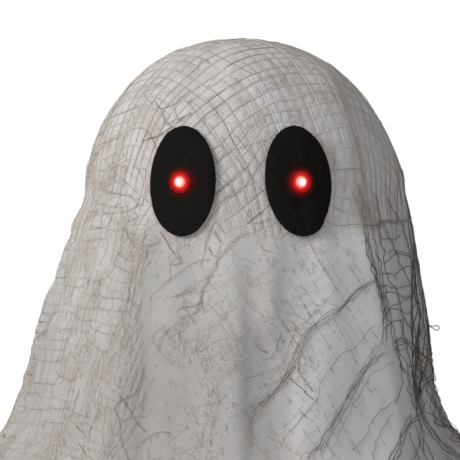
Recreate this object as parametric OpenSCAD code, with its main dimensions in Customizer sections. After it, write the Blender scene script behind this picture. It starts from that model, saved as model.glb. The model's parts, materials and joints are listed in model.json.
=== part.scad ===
// Light-up swinging ghost: a cloth figure that hangs from a pivot inside its head
// and is swung from side to side on a floor stand by a small gear drive.
// Millimetres, +Z up, the face looks towards -Y, origin on the floor under the pole.

/* [Overall] */
// Height from the floor to the crown of the cloth
total_h = 914; // [860:1:1000]
// Swing to each side of upright, in degrees
swing_deg = 10; // [4:1:12]

/* [Cloth] */
// Thickness of the white drape
drape_t = 1.2; // [0.8:0.1:1.6]
// Thickness of the gauze layer over the drape
gauze_t = 1; // [0.6:0.1:1.4]
// Room between the head ball and the drape
cloth_gap = 2; // [1.8:0.1:3]
// Room between one cloth layer and the next
layer_gap = 0.4; // [0.3:0.1:0.8]
// Height of the drape's hem above the floor
hem_z = 90; // [80:1:150]
// Half width of the drape at its hem
hem_half_w = 214; // [205:1:230]
// Half depth of the drape at its hem, front to back
hem_half_d = 150; // [140:1:165]
// Number of main folds round the skirt
fold_count = 8; // [6:1:10]
// Depth of a fold at the hem, crest to mean line
fold_depth = 12; // [4:0.5:14]
// Length of the tatters along the gauze's ragged hem
tatter_len = 28; // [10:1:40]
// Half width of the drape below the cheeks
cheek_half_w = 82.5; // [81:0.5:88]
// Half width of the drape at the collar
collar_half_w = 90; // [89:0.5:95]
// Half width of the drape on the shoulders
shoulder_half_w = 95.5; // [95:0.5:102]
// How far the cloth hangs over to the figure's right at the collar
cloth_lean = 5.5; // [0:0.5:6]

/* [Head] */
// Outer radius of the ball-shaped head shell
head_r = 66; // [65:0.5:70]
// Wall of the head shell
head_wall = 2.2; // [1.8:0.1:2.6]
// Inner radius of the neck tube, which the pole swings in
neck_r = 33; // [32.5:0.1:33.4]
// Wall of the neck tube
neck_wall = 2.6; // [2:0.1:3]

/* [Eyes] */
// Width of an eye patch
eye_w = 28; // [25:0.5:32]
// Height of an eye patch
eye_h = 47.5; // [42:0.5:54]
// Turn of an eye away from straight ahead, in degrees
eye_turn = 21; // [19:0.5:25]
// Height of the eyes above the ball's centre
eye_rise = 3.8; // [2:0.2:6]
// Thickness of the felt patch
felt_t = 1.5; // [1:0.1:2]
// Diameter of the lamp
led_d = 5; // [4:0.5:5.5]
// Diameter of the lamp holder's barrel
holder_d = 8; // [7.8:0.1:9]

/* [Swing drive] */
// Diameter of the swing shaft
shaft_d = 6; // [5:0.1:7]
// Teeth of the full circle that the fixed sector is cut from
sector_teeth = 54; // [52:1:56]
// Teeth of the pinion on the sector
pinion_teeth = 12; // [11:1:13]
// Tooth module of the sector pair
sector_module = 1; // [0.9:0.05:1.05]
// Teeth of each reduction wheel
wheel_teeth = 40; // [38:1:42]
// Teeth of each small pinion
small_teeth = 10; // [9:1:11]
// Tooth module of the reduction pairs
train_module = 0.8; // [0.75:0.01:0.84]
// Diameter of the gear axles
axle_d = 3; // [2.5:0.1:3.2]
// Thickness of the chassis plates
plate_t = 3; // [2.4:0.1:3.6]
// Diameter of the motor can
motor_d = 20; // [18:0.5:21]
// Width of the motor can across its flats
motor_flats = 15; // [13:0.5:17]
// Length of the motor can with its end cap
motor_len = 25; // [22:0.5:27]

/* [Shoulders] */
// Drop of the yoke below the ball's centre
yoke_drop = 95; // [92:0.5:100]
// Height of the yoke's crossbar
yoke_h = 14; // [12:0.5:16]
// Diameter of an arm rod
arm_d = 6; // [4:0.5:8]
// Length of an arm rod outside its socket's root
arm_len = 150; // [130:1:160]
// Droop of the arms below level, in degrees
arm_droop = 40; // [36:1:44]
// Radius of the ball on the end of an arm
tip_r = 14; // [12:0.5:16]

/* [Battery box] */
// Number of cells side by side
cell_count = 3; // [2:1:3]
// Diameter of a cell
cell_d = 14.5; // [13.9:0.1:14.5]
// Length of a cell
cell_len = 50.5; // [49:0.1:50.5]
// Wall of the battery box
box_wall = 2; // [1.6:0.1:2.4]
// Height of the bay for the control board
board_bay_h = 26; // [24:0.5:30]
// Travel of the power switch
switch_travel = 4; // [2:0.5:5]

/* [Stand] */
// Radius of the foot
base_r = 150; // [130:1:170]
// Height of the foot's dome
base_h = 34; // [30:1:38]
// Wall of the foot's shell
base_wall = 3; // [2.4:0.1:4]
// Height of the socket that holds the pole
socket_h = 82; // [70:1:90]
// Outer diameter of the lower pole
pole_d = 22; // [20:0.5:24]
// Wall of both poles
pole_wall = 1.2; // [0.8:0.1:1.4]
// Height of the joint between the poles
pole_joint_z = 440; // [380:1:500]
// Length of the upper pole inside the lower one
pole_overlap = 60; // [50:1:80]
// Thickness of the ballast plate
ballast_t = 6; // [4:0.5:8]
// Height of the rubber feet
foot_h = 4; // [3:0.5:6]
// Travel of the snap button
button_travel = 3; // [2:0.5:3.5]

/* [Fits] */
// Radial clearance of a part that turns on a pin
running_gap = 0.05; // [0.02:0.01:0.1]
// Clearance of parts that slide or stand close
slide_gap = 0.3; // [0.2:0.05:0.4]
// Thinning of each gear tooth for backlash
backlash = 0.16; // [0.12:0.02:0.24]

/* [Hidden] */
$fn = 48;

// Heights and radii of the cloth over the head ball
cloth_r = head_r + cloth_gap;
gauze_off = drape_t + layer_gap;
patch_off = gauze_off + gauze_t + layer_gap;
crown_off = gauze_off + gauze_t;
pivot_z = total_h - cloth_r - crown_off;
eye_z = pivot_z + eye_rise;
head_in_r = head_r - head_wall;

// Shoulders and arms
yoke_z = pivot_z - yoke_drop;
yoke_end_x = 76;
yoke_bar_w = 20;
arm_root_x = yoke_end_x - 10;
tip_x = arm_root_x + arm_len * cos(arm_droop);
tip_z = yoke_z - arm_len * sin(arm_droop);

// Rings of the cloth below the ball: height, half width, half depth, lean and share of the fold depth
hand_z = tip_z - tip_r / 2;
hand_half_w = tip_x + tip_r + 8;
hand_half_d = 97;
hem_band = tatter_len + 12;
hem_ring = [hem_z, hem_half_w, hem_half_d, 0, 1];
knee_ring = [(hand_z + hem_z) / 2, (hand_half_w + hem_half_w) / 2, (hand_half_d + hem_half_d) / 2, 0, 0.75];
band_ring = blend(hem_ring, knee_ring, hem_band / (knee_ring[0] - hem_z));
skirt = [
    [pivot_z, cloth_r, cloth_r, 0, 0],
    [pivot_z - 50, cheek_half_w, 74, 0.65, 0.12],
    [pivot_z - 92, collar_half_w, 79, 1, 0.25],
    [pivot_z - 108, shoulder_half_w, 81, 0.9, 0.3],
    [(yoke_z + tip_z) / 2, (arm_root_x + tip_x) / 2 + 18, 88, 0.35, 0.35],
    [tip_z + 1.15 * tip_r, tip_x + tip_r / 2, 93, 0, 0.4],
    [hand_z, hand_half_w, hand_half_d, 0, 0.45],
    knee_ring,
    band_ring,
    hem_ring];
dome_steps = [24, 48, 70];
cloth_sides = 6 * fold_count;

// Gear geometry
pressure_deg = 25;
addendum = 0.8;
dedendum = 1.05;
mesh_gap = 0.1;
sector_r = sector_module * sector_teeth / 2;
pinion_r = sector_module * pinion_teeth / 2;
wheel_r = train_module * wheel_teeth / 2;
small_r = train_module * small_teeth / 2;
sector_half_deg = swing_deg + 20;
sector_hub_r = 11;
train_dist = wheel_r + small_r + mesh_gap;
reduction_dir = 200;
motor_dir = 250;
// Gear centres, as [x, height above the pivot]
output_at = [0, sector_r + pinion_r + mesh_gap];
reduction_at = output_at + train_dist * [cos(reduction_dir), sin(reduction_dir)];
motor_at = reduction_at + train_dist * [cos(motor_dir), sin(motor_dir)];

// Layers of the drive along Y, front to back
hub_half = 8;
sector_w = 5;
pinion_w = sector_w + 1;
wheel_w = 3.5;
sector_y = -hub_half - sector_w;
pinion_y = sector_y - 0.5;
output_wheel_y = pinion_y + pinion_w + 1;
small_y = output_wheel_y - 0.5;
small_w = wheel_w + 1;
reduction_wheel_y = small_y + small_w + 1;
motor_pinion_y = reduction_wheel_y - 0.5;
motor_y = motor_pinion_y + small_w + 1;
rear_plate_y = motor_y + motor_len;
bush_flange = 1.2;
front_plate_y = pinion_y - 0.5 - bush_flange - slide_gap - plate_t;
rear_face_y = rear_plate_y + plate_t;
front_in_y = front_plate_y + plate_t;
bush_r = shaft_d / 2 + 2;
gear_hub_r = axle_d / 2 + 1.1;
motor_shaft_r = 1;
motor_cap_t = 4;
motor_boss_t = 2;

// Screw posts of the chassis and the head, as [x, height above the pivot]
head_posts = [[-32, -22], [32, -22], [30, 26]];
chassis_posts = [[24, 40], [-42, 10]];
post_r = 4;
screw_r = 1.5;
head_screw_seat_y = rear_face_y + 12;
head_screw_tip = 12;

// Neck
neck_out_r = neck_r + neck_wall;
neck_cut = sqrt(pow(head_in_r, 2) - pow(neck_out_r + 1.2, 2));
flange_r = neck_out_r + 4.2;
flange_t = 3;
flange_z = pivot_z - sqrt(pow(head_in_r, 2) - pow(flange_r + slide_gap, 2));
ring_r = neck_out_r + 8.2;
ledge = 3;

// Stand
cover_z = foot_h;
cover_t = 2.5;
ballast_z = cover_z + cover_t;
base_rim_h = 10;
base_rise = base_h - foot_h - base_rim_h;
socket_r = pole_d / 2 + 10;
upper_d = pole_d - 2 * pole_wall - 2 * slide_gap;
pole_foot_z = ballast_z + 3;
base_screw_r = 100;
screw_bite = 9;
screw_head_t = 2;
ballast_gap = 20;
foot_pad_r = 14;
sleeve_r = upper_d / 2 + 4;
sleeve_low = 75;
sleeve_top = 35;
pole_top_z = pivot_z - sleeve_top - 8;
button_z = pole_joint_z - 30;
button_r = 3;
spring_t = 0.6;

// Battery box
bay_w = cell_count * (cell_d + 0.5) + 1;
bay_d = cell_d + 1;
bay_h = cell_len + 6.5;
door_t = 2;
door_lap = 1.5;
side_wall = box_wall + door_lap;
box_w = bay_w + 2 * side_wall;
bracket_t = 8;
bracket_y = ring_r - 4;
box_y = bracket_y + bracket_t;
bay_y = box_y + box_wall;
door_y = bay_y + bay_d + slide_gap;
lip_t = 1.4;
box_d = door_y + door_t + slide_gap + lip_t - box_y;
box_h = bay_h + board_bay_h + 3 * box_wall;
box_top = yoke_z - yoke_h / 2 - 5;
box_z = box_top - box_h;
bay_z = box_z + box_wall;
board_z = bay_z + bay_h + box_wall;
switch_z = board_z + board_bay_h / 2;
switch_y = bay_y + 8;
switch_w = 4;
board_y = bay_y + 3;
board_t = 1.6;
board_top = board_z + board_bay_h - 2;
wire_hole_r = 4.5;
wire_hole_y = board_y + 3;

// Wire routes, as offsets from the ball's centre
wire_r = 0.9;
lead_gap = 2.4;
motor_lead = [[0, 57, -100], [0, 57, -75], [0, 52, -56], [0, 42, -38], [0, 40, -24],
    [-10, 40, -10], [-22, 41, 0]];
lamp_lead = [[0, 57, -100], [0, 57, -75], [0, 52, -56], [0, 42, -38], [3, 40, -33], [14, 40, -32],
    [27, 38, -33], [42, 22, -33], [50, 0, -26], [48, -20, -12], [38, -35, -2], [26, -36, 3], [17, -41, 4]];
led_leg_r = 54;
grommet_at = [0, 46.3, -45.7];
grommet_tilt = 29;
grommet_r = 4.5;
grommet_wall = 0.8;
grommet_t = 5;

// Shared shapes

// A cylinder along +Y that starts at the given point
module y_rod(r, y0, y1, at = [0, 0]) {
    translate([at[0], y0, pivot_z + at[1]]) rotate([-90, 0, 0]) cylinder(r = r, h = y1 - y0);
}

// A cylinder along the sight line of one eye, between two distances from the head's axis
module eye_rod(side, r, from, to) {
    translate([0, 0, eye_z]) rotate([0, 0, side * eye_turn]) translate([0, -from, 0])
        rotate([90, 0, 0]) cylinder(r = r, h = to - from);
}

// Mirrors a child to the other side for side = -1
module on_side(side) {
    mirror([side < 0 ? 1 : 0, 0, 0]) children();
}

// A flat-headed screw along +Y: shank from y0 to y1 with its head outside y1
module y_screw(r, y0, y1, at) {
    y_rod(r, y0, y1, at);
    difference() {
        y_rod(2 * r, y1, y1 + 1.4 * r, at);
        y_slot(r, y1 + 0.9 * r, at);
    }
}

// The slot in a screw's head
module y_slot(r, y0, at) {
    translate([at[0] - 2.2 * r, y0, pivot_z + at[1] - 0.25 * r]) cube([4.4 * r, r, 0.5 * r]);
}

// Gear teeth

// Involute angle in degrees
function involute_deg(a) = tan(a) * 180 / PI - a;

// Half the angle that a tooth takes up at radius r
function tooth_half_deg(m, n, r) =
    (PI * m / 2 - backlash) / (m * n) * 180 / PI
    + involute_deg(pressure_deg)
    - involute_deg(acos(min(1, m * n / 2 * cos(pressure_deg) / r)));

// Radii along a tooth's flank, from root to tip
function flank_radii(m, n) = let (
        root = m * n / 2 - dedendum * m,
        tip = m * n / 2 + addendum * m,
        low = max(root + 0.05, m * n / 2 * cos(pressure_deg)))
    [root, low, (2 * low + tip) / 3, (low + 2 * tip) / 3, tip];

// Outline of teeth number first to last, the first one at the given angle
function teeth_outline(m, n, first, last, turn) = let (radii = flank_radii(m, n), count = len(radii))
    [for (k = [first:last]) for (side = [-1, 1]) for (i = [0:count - 1]) let (
            r = radii[side < 0 ? i : count - 1 - i],
            a = turn + k * 360 / n + side * tooth_half_deg(m, n, max(r, radii[1])))
        r * [cos(a), sin(a)]];

// A whole gear in the XZ plane, from y0 to y0 + w
module spur(m, n, turn, y0, w, at) {
    translate([at[0], y0 + w, pivot_z + at[1]]) rotate([90, 0, 0]) linear_extrude(w)
        polygon(teeth_outline(m, n, 0, n - 1, turn));
}

// Cloth

// Folds round the skirt: crests at the sides, the front and the back
function fold(t) = cos(fold_count * (t + 4 * sin(2 * t)));

// A value or list between two others
function blend(a, b, share) = a + (b - a) * share;

// A point of a skirt ring, pushed out by off
function skirt_point(ring, t, off) = let (out = off + fold_depth * ring[4] * fold(t))
    [(ring[1] + out) * cos(t) - cloth_lean * ring[3], (ring[2] + out) * sin(t), ring[0]];

// A point of the dome over the ball, pushed out by off
function dome_point(down, t, off) = let (r = cloth_r + off)
    [r * sin(down) * cos(t), r * sin(down) * sin(t), pivot_z + r * cos(down)];

// Height of the gauze's ragged edge above the drape's hem
function tatter(t) = tatter_len * (0.55 + 0.3 * cos(5 * t + 40) + 0.15 * cos(11 * t));

// The ring that a layer's hem lies on
function last_ring(t, ragged) = ragged ? blend(hem_ring, band_ring, tatter(t) / hem_band) : hem_ring;

// All points of one face of a cloth layer, ring by ring from the crown down
function cloth_face(off, ragged) = let (last = len(skirt) - 1)
    concat(
        [[0, 0, pivot_z + cloth_r + off]],
        [for (down = dome_steps) for (i = [0:cloth_sides - 1])
            dome_point(down, i * 360 / cloth_sides, off)],
        [for (k = [0:last]) for (i = [0:cloth_sides - 1]) let (t = i * 360 / cloth_sides)
            skirt_point(k == last ? last_ring(t, ragged) : skirt[k], t, off)]);

// Triangles of one face, with its first point at index base
function cloth_triangles(base, rings, outward) = let (n = cloth_sides)
    concat(
        [for (i = [0:n - 1]) let (j = (i + 1) % n)
            outward ? [base, base + 1 + j, base + 1 + i] : [base, base + 1 + i, base + 1 + j]],
        [for (k = [0:rings - 2]) for (i = [0:n - 1]) let (
                j = (i + 1) % n, a = base + 1 + k * n, b = a + n)
            each outward ? [[a + i, a + j, b + j], [a + i, b + j, b + i]]
                : [[a + i, b + j, a + j], [a + i, b + i, b + j]]]);

// A closed layer of cloth, open at the hem
module cloth_layer(off, thick, ragged) {
    rings = len(dome_steps) + len(skirt);
    size = 1 + rings * cloth_sides;
    hem = size - cloth_sides;
    rim = [for (i = [0:cloth_sides - 1]) let (j = (i + 1) % cloth_sides)
        each [[hem + i, hem + j, size + hem + j], [hem + i, size + hem + j, size + hem + i]]];
    polyhedron(
        concat(cloth_face(off + thick, ragged), cloth_face(off, ragged)),
        concat(cloth_triangles(0, rings, true), cloth_triangles(size, rings, false), rim));
}

// Front of the cloth at a given place on the face, pushed out by off
function face_point(x, z, off) = let (
        r = cloth_r + off,
        down = pivot_z - z,
        drop = pivot_z - skirt[1][0],
        half_w = down < 0 ? sqrt(r * r - down * down) : r + (cheek_half_w - cloth_r) * down / drop,
        half_d = down < 0 ? half_w : r + (skirt[1][2] - cloth_r) * down / drop)
    [x, -half_d * sqrt(1 - pow(x / half_w, 2)), z];

// Wires

// A point on the smooth curve through p1 and p2
function curve_point(p0, p1, p2, p3, s) =
    0.5 * (2 * p1 + (p2 - p0) * s + (2 * p0 - 5 * p1 + 4 * p2 - p3) * s * s
        + (3 * p1 - p0 - 3 * p2 + p3) * s * s * s);

// The route with points added between its own
function smooth_route(p) = let (n = len(p))
    concat([for (i = [0:n - 2]) for (s = [0, 0.5])
        curve_point(p[max(i - 1, 0)], p[i], p[i + 1], p[min(i + 2, n - 1)], s)], [p[n - 1]]);

function unit(v) = v / norm(v);

// Side vectors that turn as little as possible along the route
function side_vectors(dirs, i, before) = i == len(dirs) ? [] :
    let (side = unit(before - (before * dirs[i]) * dirs[i]))
    concat([side], side_vectors(dirs, i + 1, side));

// A round tube swept along a route
module tube(route, r, sides = 8) {
    p = smooth_route(route);
    n = len(p);
    dirs = [for (i = [0:n - 1]) unit(p[min(i + 1, n - 1)] - p[max(i - 1, 0)])];
    across = side_vectors(dirs, 0, [1, 0.1, 0.2]);
    points = [for (i = [0:n - 1]) for (k = [0:sides - 1]) let (a = k * 360 / sides)
        p[i] + r * (cos(a) * across[i] + sin(a) * cross(dirs[i], across[i]))];
    polyhedron(points, concat(
        [[for (k = [0:sides - 1]) k]],
        [for (i = [0:n - 2]) for (k = [0:sides - 1]) let (
                a = i * sides + k, b = i * sides + (k + 1) % sides)
            each [[a, b + sides, b], [a, a + sides, b + sides]]],
        [[for (k = [sides - 1:-1:0]) (n - 1) * sides + k]]));
}

// Stand

// Height of the foot's top at radius r
function dome_h(r) = foot_h + base_rim_h + base_rise * cos(90 * r / base_r);

module base_shell() {
    steps = 10;
    inner_r = base_r - base_wall;
    top = [for (i = [0:steps]) let (r = base_r - i * (base_r - socket_r) / steps) [r, dome_h(r)]];
    under = [for (i = [steps:-1:0]) let (r = inner_r - i * (inner_r - socket_r) / steps)
        [r, dome_h(r) - base_wall]];
    color("dimgray") {
        rotate_extrude() polygon(concat(
            [[base_r, foot_h]], top,
            [[socket_r - 2, base_h + 6], [socket_r - 6, socket_h - 3], [socket_r - 9, socket_h],
                [pole_d / 2, socket_h], [pole_d / 2, pole_foot_z],
                [pole_d / 2 - 4, pole_foot_z], [pole_d / 2 - 4, ballast_z],
                [socket_r - 6, ballast_z], [socket_r - 6, dome_h(socket_r) - base_wall]],
            under, [[inner_r, foot_h]]));
        for (a = [0:90:270]) rotate(a) translate([base_screw_r, 0, ballast_z]) difference() {
            cylinder(r = 5, h = dome_h(base_screw_r + 5) - 1 - ballast_z);
            translate([0, 0, -1]) cylinder(r = screw_r, h = screw_bite + 2);
        }
    }
}

module base_cover() {
    color("dimgray") translate([0, 0, cover_z]) difference() {
        cylinder(r = base_r - base_wall - slide_gap, h = cover_t);
        translate([0, 0, -1]) cylinder(r = pole_d / 2 - 4, h = cover_t + 2);
        for (a = [0:90:270]) rotate(a) translate([base_screw_r, 0, -1])
            cylinder(r = screw_r, h = cover_t + 2);
    }
}

module base_screws() {
    color("silver") for (a = [0:90:270]) rotate(a) translate([base_screw_r, 0, cover_z]) {
        cylinder(r = screw_r, h = cover_t + screw_bite);
        translate([0, 0, -screw_head_t]) cylinder(r = 2 * screw_r, h = screw_head_t);
    }
}

module ballast_plate() {
    color("slategray") translate([0, 0, ballast_z]) difference() {
        cylinder(r = base_r - ballast_gap, h = ballast_t);
        translate([0, 0, -1]) cylinder(r = socket_r - 6 + slide_gap, h = ballast_t + 2);
        for (a = [0:90:270]) rotate(a) translate([base_screw_r, 0, -1]) cylinder(r = 6, h = ballast_t + 2);
    }
}

module rubber_feet() {
    color("black") for (a = [45:90:315]) rotate(a) translate([base_r - 32, 0, 0])
        rotate_extrude() polygon([[0, 0], [foot_pad_r - 1, 0], [foot_pad_r, 1], [foot_pad_r, foot_h],
            [0, foot_h]]);
}

// The hole that the snap button comes through
module button_hole() {
    translate([0, 0, button_z]) rotate([-90, 0, 0]) cylinder(r = button_r + slide_gap / 2, h = pole_d);
}

module lower_pole() {
    color("gray") difference() {
        translate([0, 0, pole_foot_z]) cylinder(d = pole_d, h = pole_joint_z - pole_foot_z);
        translate([0, 0, pole_foot_z - 1]) cylinder(d = pole_d - 2 * pole_wall, h = pole_joint_z);
        button_hole();
    }
}

module pole_collar() {
    skirt_h = 12;
    nose_h = 8;
    color("black") translate([0, 0, pole_joint_z]) rotate_extrude() polygon([
        [pole_d / 2, -skirt_h], [pole_d / 2 + 3, -skirt_h], [pole_d / 2 + 3, 2],
        [upper_d / 2 + 2, nose_h], [upper_d / 2, nose_h], [upper_d / 2, 0], [pole_d / 2, 0]]);
}

module upper_pole() {
    low = pole_joint_z - pole_overlap;
    color("gray") difference() {
        translate([0, 0, low]) cylinder(d = upper_d, h = pole_top_z - low);
        translate([0, 0, low - 1]) cylinder(d = upper_d - 2 * pole_wall, h = pole_top_z - low + 2);
        button_hole();
        translate([0, 0, pivot_z - sleeve_low + 12]) rotate([90, 0, 0])
            cylinder(r = 2, h = pole_d, center = true);
    }
}

module snap_button() {
    inner = upper_d / 2 - pole_wall - 2.5;
    outer = pole_d / 2 + button_travel;
    color("silver") translate([0, inner, button_z]) rotate([-90, 0, 0]) {
        cylinder(r = button_r, h = outer - inner - 1);
        translate([0, 0, outer - inner - 1]) cylinder(r1 = button_r, r2 = button_r - 0.8, h = 1);
    }
}

module snap_spring() {
    back = upper_d / 2 - pole_wall - 2.5;
    leaf_w = 6;
    pad = 5;
    drop = 35;
    far = -upper_d / 2 + pole_wall + 1.5;
    color("silver") translate([-leaf_w / 2, 0, button_z]) rotate([90, 0, 90]) linear_extrude(leaf_w)
        polygon([[back - spring_t, pad], [back, pad], [back, -pad], [far + spring_t, -drop],
            [far, -drop], [far, pad], [far + spring_t, pad], [far + spring_t, 2.5 * spring_t - drop],
            [back - spring_t, -pad]]);
}

// Pivot on the pole

module pivot_block() {
    rib_w = 16;
    color("dimgray") difference() {
        union() {
            y_rod(sector_hub_r, -hub_half, hub_half);
            translate([-rib_w / 2, -hub_half, pivot_z - sleeve_top - 4])
                cube([rib_w, 2 * hub_half, sleeve_top + 4]);
            translate([0, 0, pivot_z - sleeve_low]) cylinder(r = sleeve_r, h = sleeve_low - sleeve_top);
        }
        y_rod(shaft_d / 2, -hub_half - 1, hub_half + 1);
        translate([0, 0, pivot_z - sleeve_low - 1])
            cylinder(d = upper_d, h = pole_top_z - pivot_z + sleeve_low + 1);
        for (side = [-1, 1]) y_rod(1, -hub_half - 1, -hub_half + 6, [7.5 * side, 0]);
        translate([0, 0, pivot_z - sleeve_low + 12]) rotate([90, 0, 0])
            cylinder(r = 2, h = 3 * sleeve_r, center = true);
    }
}

module pole_rivet() {
    head_t = 1.2;
    color("silver") translate([0, 0, pivot_z - sleeve_low + 12]) rotate([90, 0, 0]) {
        cylinder(r = 2, h = 2 * sleeve_r, center = true);
        for (side = [-1, 1]) translate([0, 0, side * (sleeve_r + head_t / 2)])
            cylinder(r = 3.4, h = head_t, center = true);
    }
}

module swing_shaft() {
    color("silver") y_rod(shaft_d / 2, front_plate_y - 3, rear_face_y + 3);
}

module shaft_spacer() {
    color("silver") difference() {
        y_rod(shaft_d / 2 + 2, hub_half, rear_plate_y - bush_flange - slide_gap);
        y_rod(shaft_d / 2, hub_half - 1, rear_plate_y);
    }
}

module shaft_clips() {
    clip_t = 0.8;
    color("silver") for (y = [front_plate_y - slide_gap - clip_t, rear_face_y + slide_gap]) difference() {
        y_rod(shaft_d / 2 + 2.5, y, y + clip_t);
        y_rod(shaft_d / 2, y - 1, y + clip_t + 1);
        translate([-1, y - 1, pivot_z - 10]) cube([2, clip_t + 2, 10 - shaft_d / 2 + 0.5]);
    }
}

module sector_gear() {
    teeth = floor(sector_half_deg / 360 * sector_teeth);
    root_r = sector_module * sector_teeth / 2 - dedendum * sector_module;
    edge = 90 + sector_half_deg;
    color("ivory") difference() {
        union() {
            translate([0, sector_y + sector_w, pivot_z]) rotate([90, 0, 0]) linear_extrude(sector_w) union() {
                circle(r = sector_hub_r);
                polygon(concat(
                    [[-5, 0], [5, 0], root_r * [cos(180 - edge), sin(180 - edge)]],
                    teeth_outline(sector_module, sector_teeth, -teeth, teeth, 90),
                    [root_r * [cos(edge), sin(edge)]]));
            }
            y_rod(shaft_d / 2 + 3, front_in_y + bush_flange + slide_gap, sector_y);
        }
        y_rod(shaft_d / 2, front_plate_y, 0);
        for (side = [-1, 1]) y_rod(1.2, sector_y - 1, 0, [7.5 * side, 0]);
    }
}

module sector_screws() {
    color("silver") for (side = [-1, 1]) {
        y_rod(1, sector_y, -hub_half + 6, [7.5 * side, 0]);
        y_rod(1.4, sector_y - 1, sector_y, [7.5 * side, 0]);
    }
}

// Drive chassis, which swings with the figure

// Outline of both chassis plates
module plate_outline() {
    hull() {
        for (at = concat(head_posts, chassis_posts)) translate(at) circle(r = post_r + 2, $fn = 32);
        translate(motor_at) circle(r = motor_d / 2 + 2, $fn = 32);
        translate(output_at) circle(r = 10, $fn = 32);
    }
}

module chassis_plate(y0) {
    translate([0, y0 + plate_t, pivot_z]) rotate([90, 0, 0]) linear_extrude(plate_t) plate_outline();
}

module chassis_front() {
    color("lightgray") difference() {
        chassis_plate(front_plate_y);
        y_rod(bush_r, front_plate_y - 1, front_in_y + 1);
        for (at = [output_at, reduction_at]) y_rod(axle_d / 2, front_plate_y - 1, front_in_y + 1, at);
        for (at = concat(head_posts, chassis_posts)) y_rod(screw_r, front_plate_y - 1, front_in_y + 1, at);
    }
}

module chassis_rear() {
    cup_len = 16;
    color("lightgray") difference() {
        union() {
            chassis_plate(rear_plate_y);
            for (at = concat(head_posts, chassis_posts)) y_rod(post_r, front_in_y, rear_plate_y, at);
            y_rod(motor_d / 2 + 2, rear_plate_y - cup_len, rear_plate_y, motor_at);
        }
        y_rod(bush_r, rear_plate_y - 1, rear_face_y + 1);
        for (at = [output_at, reduction_at]) y_rod(axle_d / 2, rear_plate_y - 1, rear_face_y + 1, at);
        for (at = head_posts) y_rod(screw_r, front_in_y - 1, rear_face_y + 1, at);
        for (at = chassis_posts) y_rod(screw_r - 0.3, front_in_y - 1, front_in_y + 10, at);
        y_rod(motor_d / 2 + running_gap, rear_plate_y - cup_len - 1, rear_plate_y, motor_at);
        y_rod(motor_d / 2 - 3, rear_plate_y - 1, rear_face_y + 1, motor_at);
    }
}

module chassis_screws() {
    color("silver") for (at = chassis_posts) {
        y_rod(screw_r - 0.3, front_plate_y, front_in_y + 10, at);
        y_rod(2.6, front_plate_y - 1.6, front_plate_y, at);
    }
}

module shaft_bushes() {
    color("goldenrod") difference() {
        union() {
            y_rod(bush_r, front_plate_y, front_in_y);
            y_rod(bush_r + 1.5, front_in_y, front_in_y + bush_flange);
            y_rod(bush_r, rear_plate_y, rear_face_y);
            y_rod(bush_r + 1.5, rear_plate_y - bush_flange, rear_plate_y);
        }
        y_rod(shaft_d / 2 + running_gap, front_plate_y - 1, rear_face_y + 1);
    }
}

module gear_axles() {
    color("silver") for (at = [output_at, reduction_at]) y_rod(axle_d / 2, front_plate_y, rear_face_y, at);
}

// The hub of a gear that runs on an axle, reaching from plate to plate
module gear_bore(at) {
    y_rod(axle_d / 2 + running_gap, front_plate_y, rear_face_y, at);
}

module gear_hub(at) {
    y_rod(gear_hub_r, front_in_y + slide_gap, rear_plate_y - slide_gap, at);
}

module output_gear() {
    color("ivory") difference() {
        union() {
            spur(sector_module, pinion_teeth, 270 + 180 / pinion_teeth, pinion_y, pinion_w, output_at);
            spur(train_module, wheel_teeth, reduction_dir, output_wheel_y, wheel_w, output_at);
            y_rod(pinion_r - dedendum * sector_module, pinion_y, output_wheel_y + wheel_w, output_at);
            gear_hub(output_at);
        }
        gear_bore(output_at);
    }
}

module reduction_gear() {
    color("ivory") difference() {
        union() {
            spur(train_module, small_teeth, reduction_dir - 180 + 180 / small_teeth, small_y, small_w,
                reduction_at);
            spur(train_module, wheel_teeth, motor_dir, reduction_wheel_y, wheel_w, reduction_at);
            gear_hub(reduction_at);
        }
        gear_bore(reduction_at);
    }
}

module motor_pinion() {
    color("goldenrod") difference() {
        spur(train_module, small_teeth, motor_dir - 180 + 180 / small_teeth, motor_pinion_y, small_w,
            motor_at);
        y_rod(motor_shaft_r, motor_pinion_y - 1, motor_y, motor_at);
    }
}

module motor_shaft() {
    color("silver") y_rod(motor_shaft_r, motor_pinion_y - 0.5, motor_y + 8, motor_at);
}

// The motor's round body with its two flats
module motor_body(y0, y1) {
    intersection() {
        y_rod(motor_d / 2, y0, y1, motor_at);
        translate([motor_at[0] - motor_d, y0 - 1, pivot_z + motor_at[1] - motor_flats / 2])
            cube([2 * motor_d, y1 - y0 + 2, motor_flats]);
    }
}

module motor_can() {
    color("silver") difference() {
        motor_body(motor_y, rear_plate_y - motor_cap_t);
        y_rod(motor_shaft_r + 0.1, motor_y - 1, motor_y + 9, motor_at);
    }
}

module motor_end_cap() {
    color("white") {
        motor_body(rear_plate_y - motor_cap_t, rear_plate_y);
        y_rod(motor_d / 2 - 4, rear_plate_y, rear_plate_y + motor_boss_t, motor_at);
        for (side = [-1, 1]) translate([motor_at[0] + 4 * side - 1, rear_plate_y + motor_boss_t,
                pivot_z + motor_at[1] - 0.3])
            cube([2, plate_t, 0.6]);
    }
}

// Head

module head_ball(r) {
    translate([0, 0, pivot_z]) sphere(r = r, $fn = 96);
}

// Half of space, in front of or behind the split
module half_space(front) {
    size = 3 * head_r;
    translate([-size / 2, front ? -size : 0, pivot_z - size / 2]) cube([size, size, size]);
}

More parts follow.
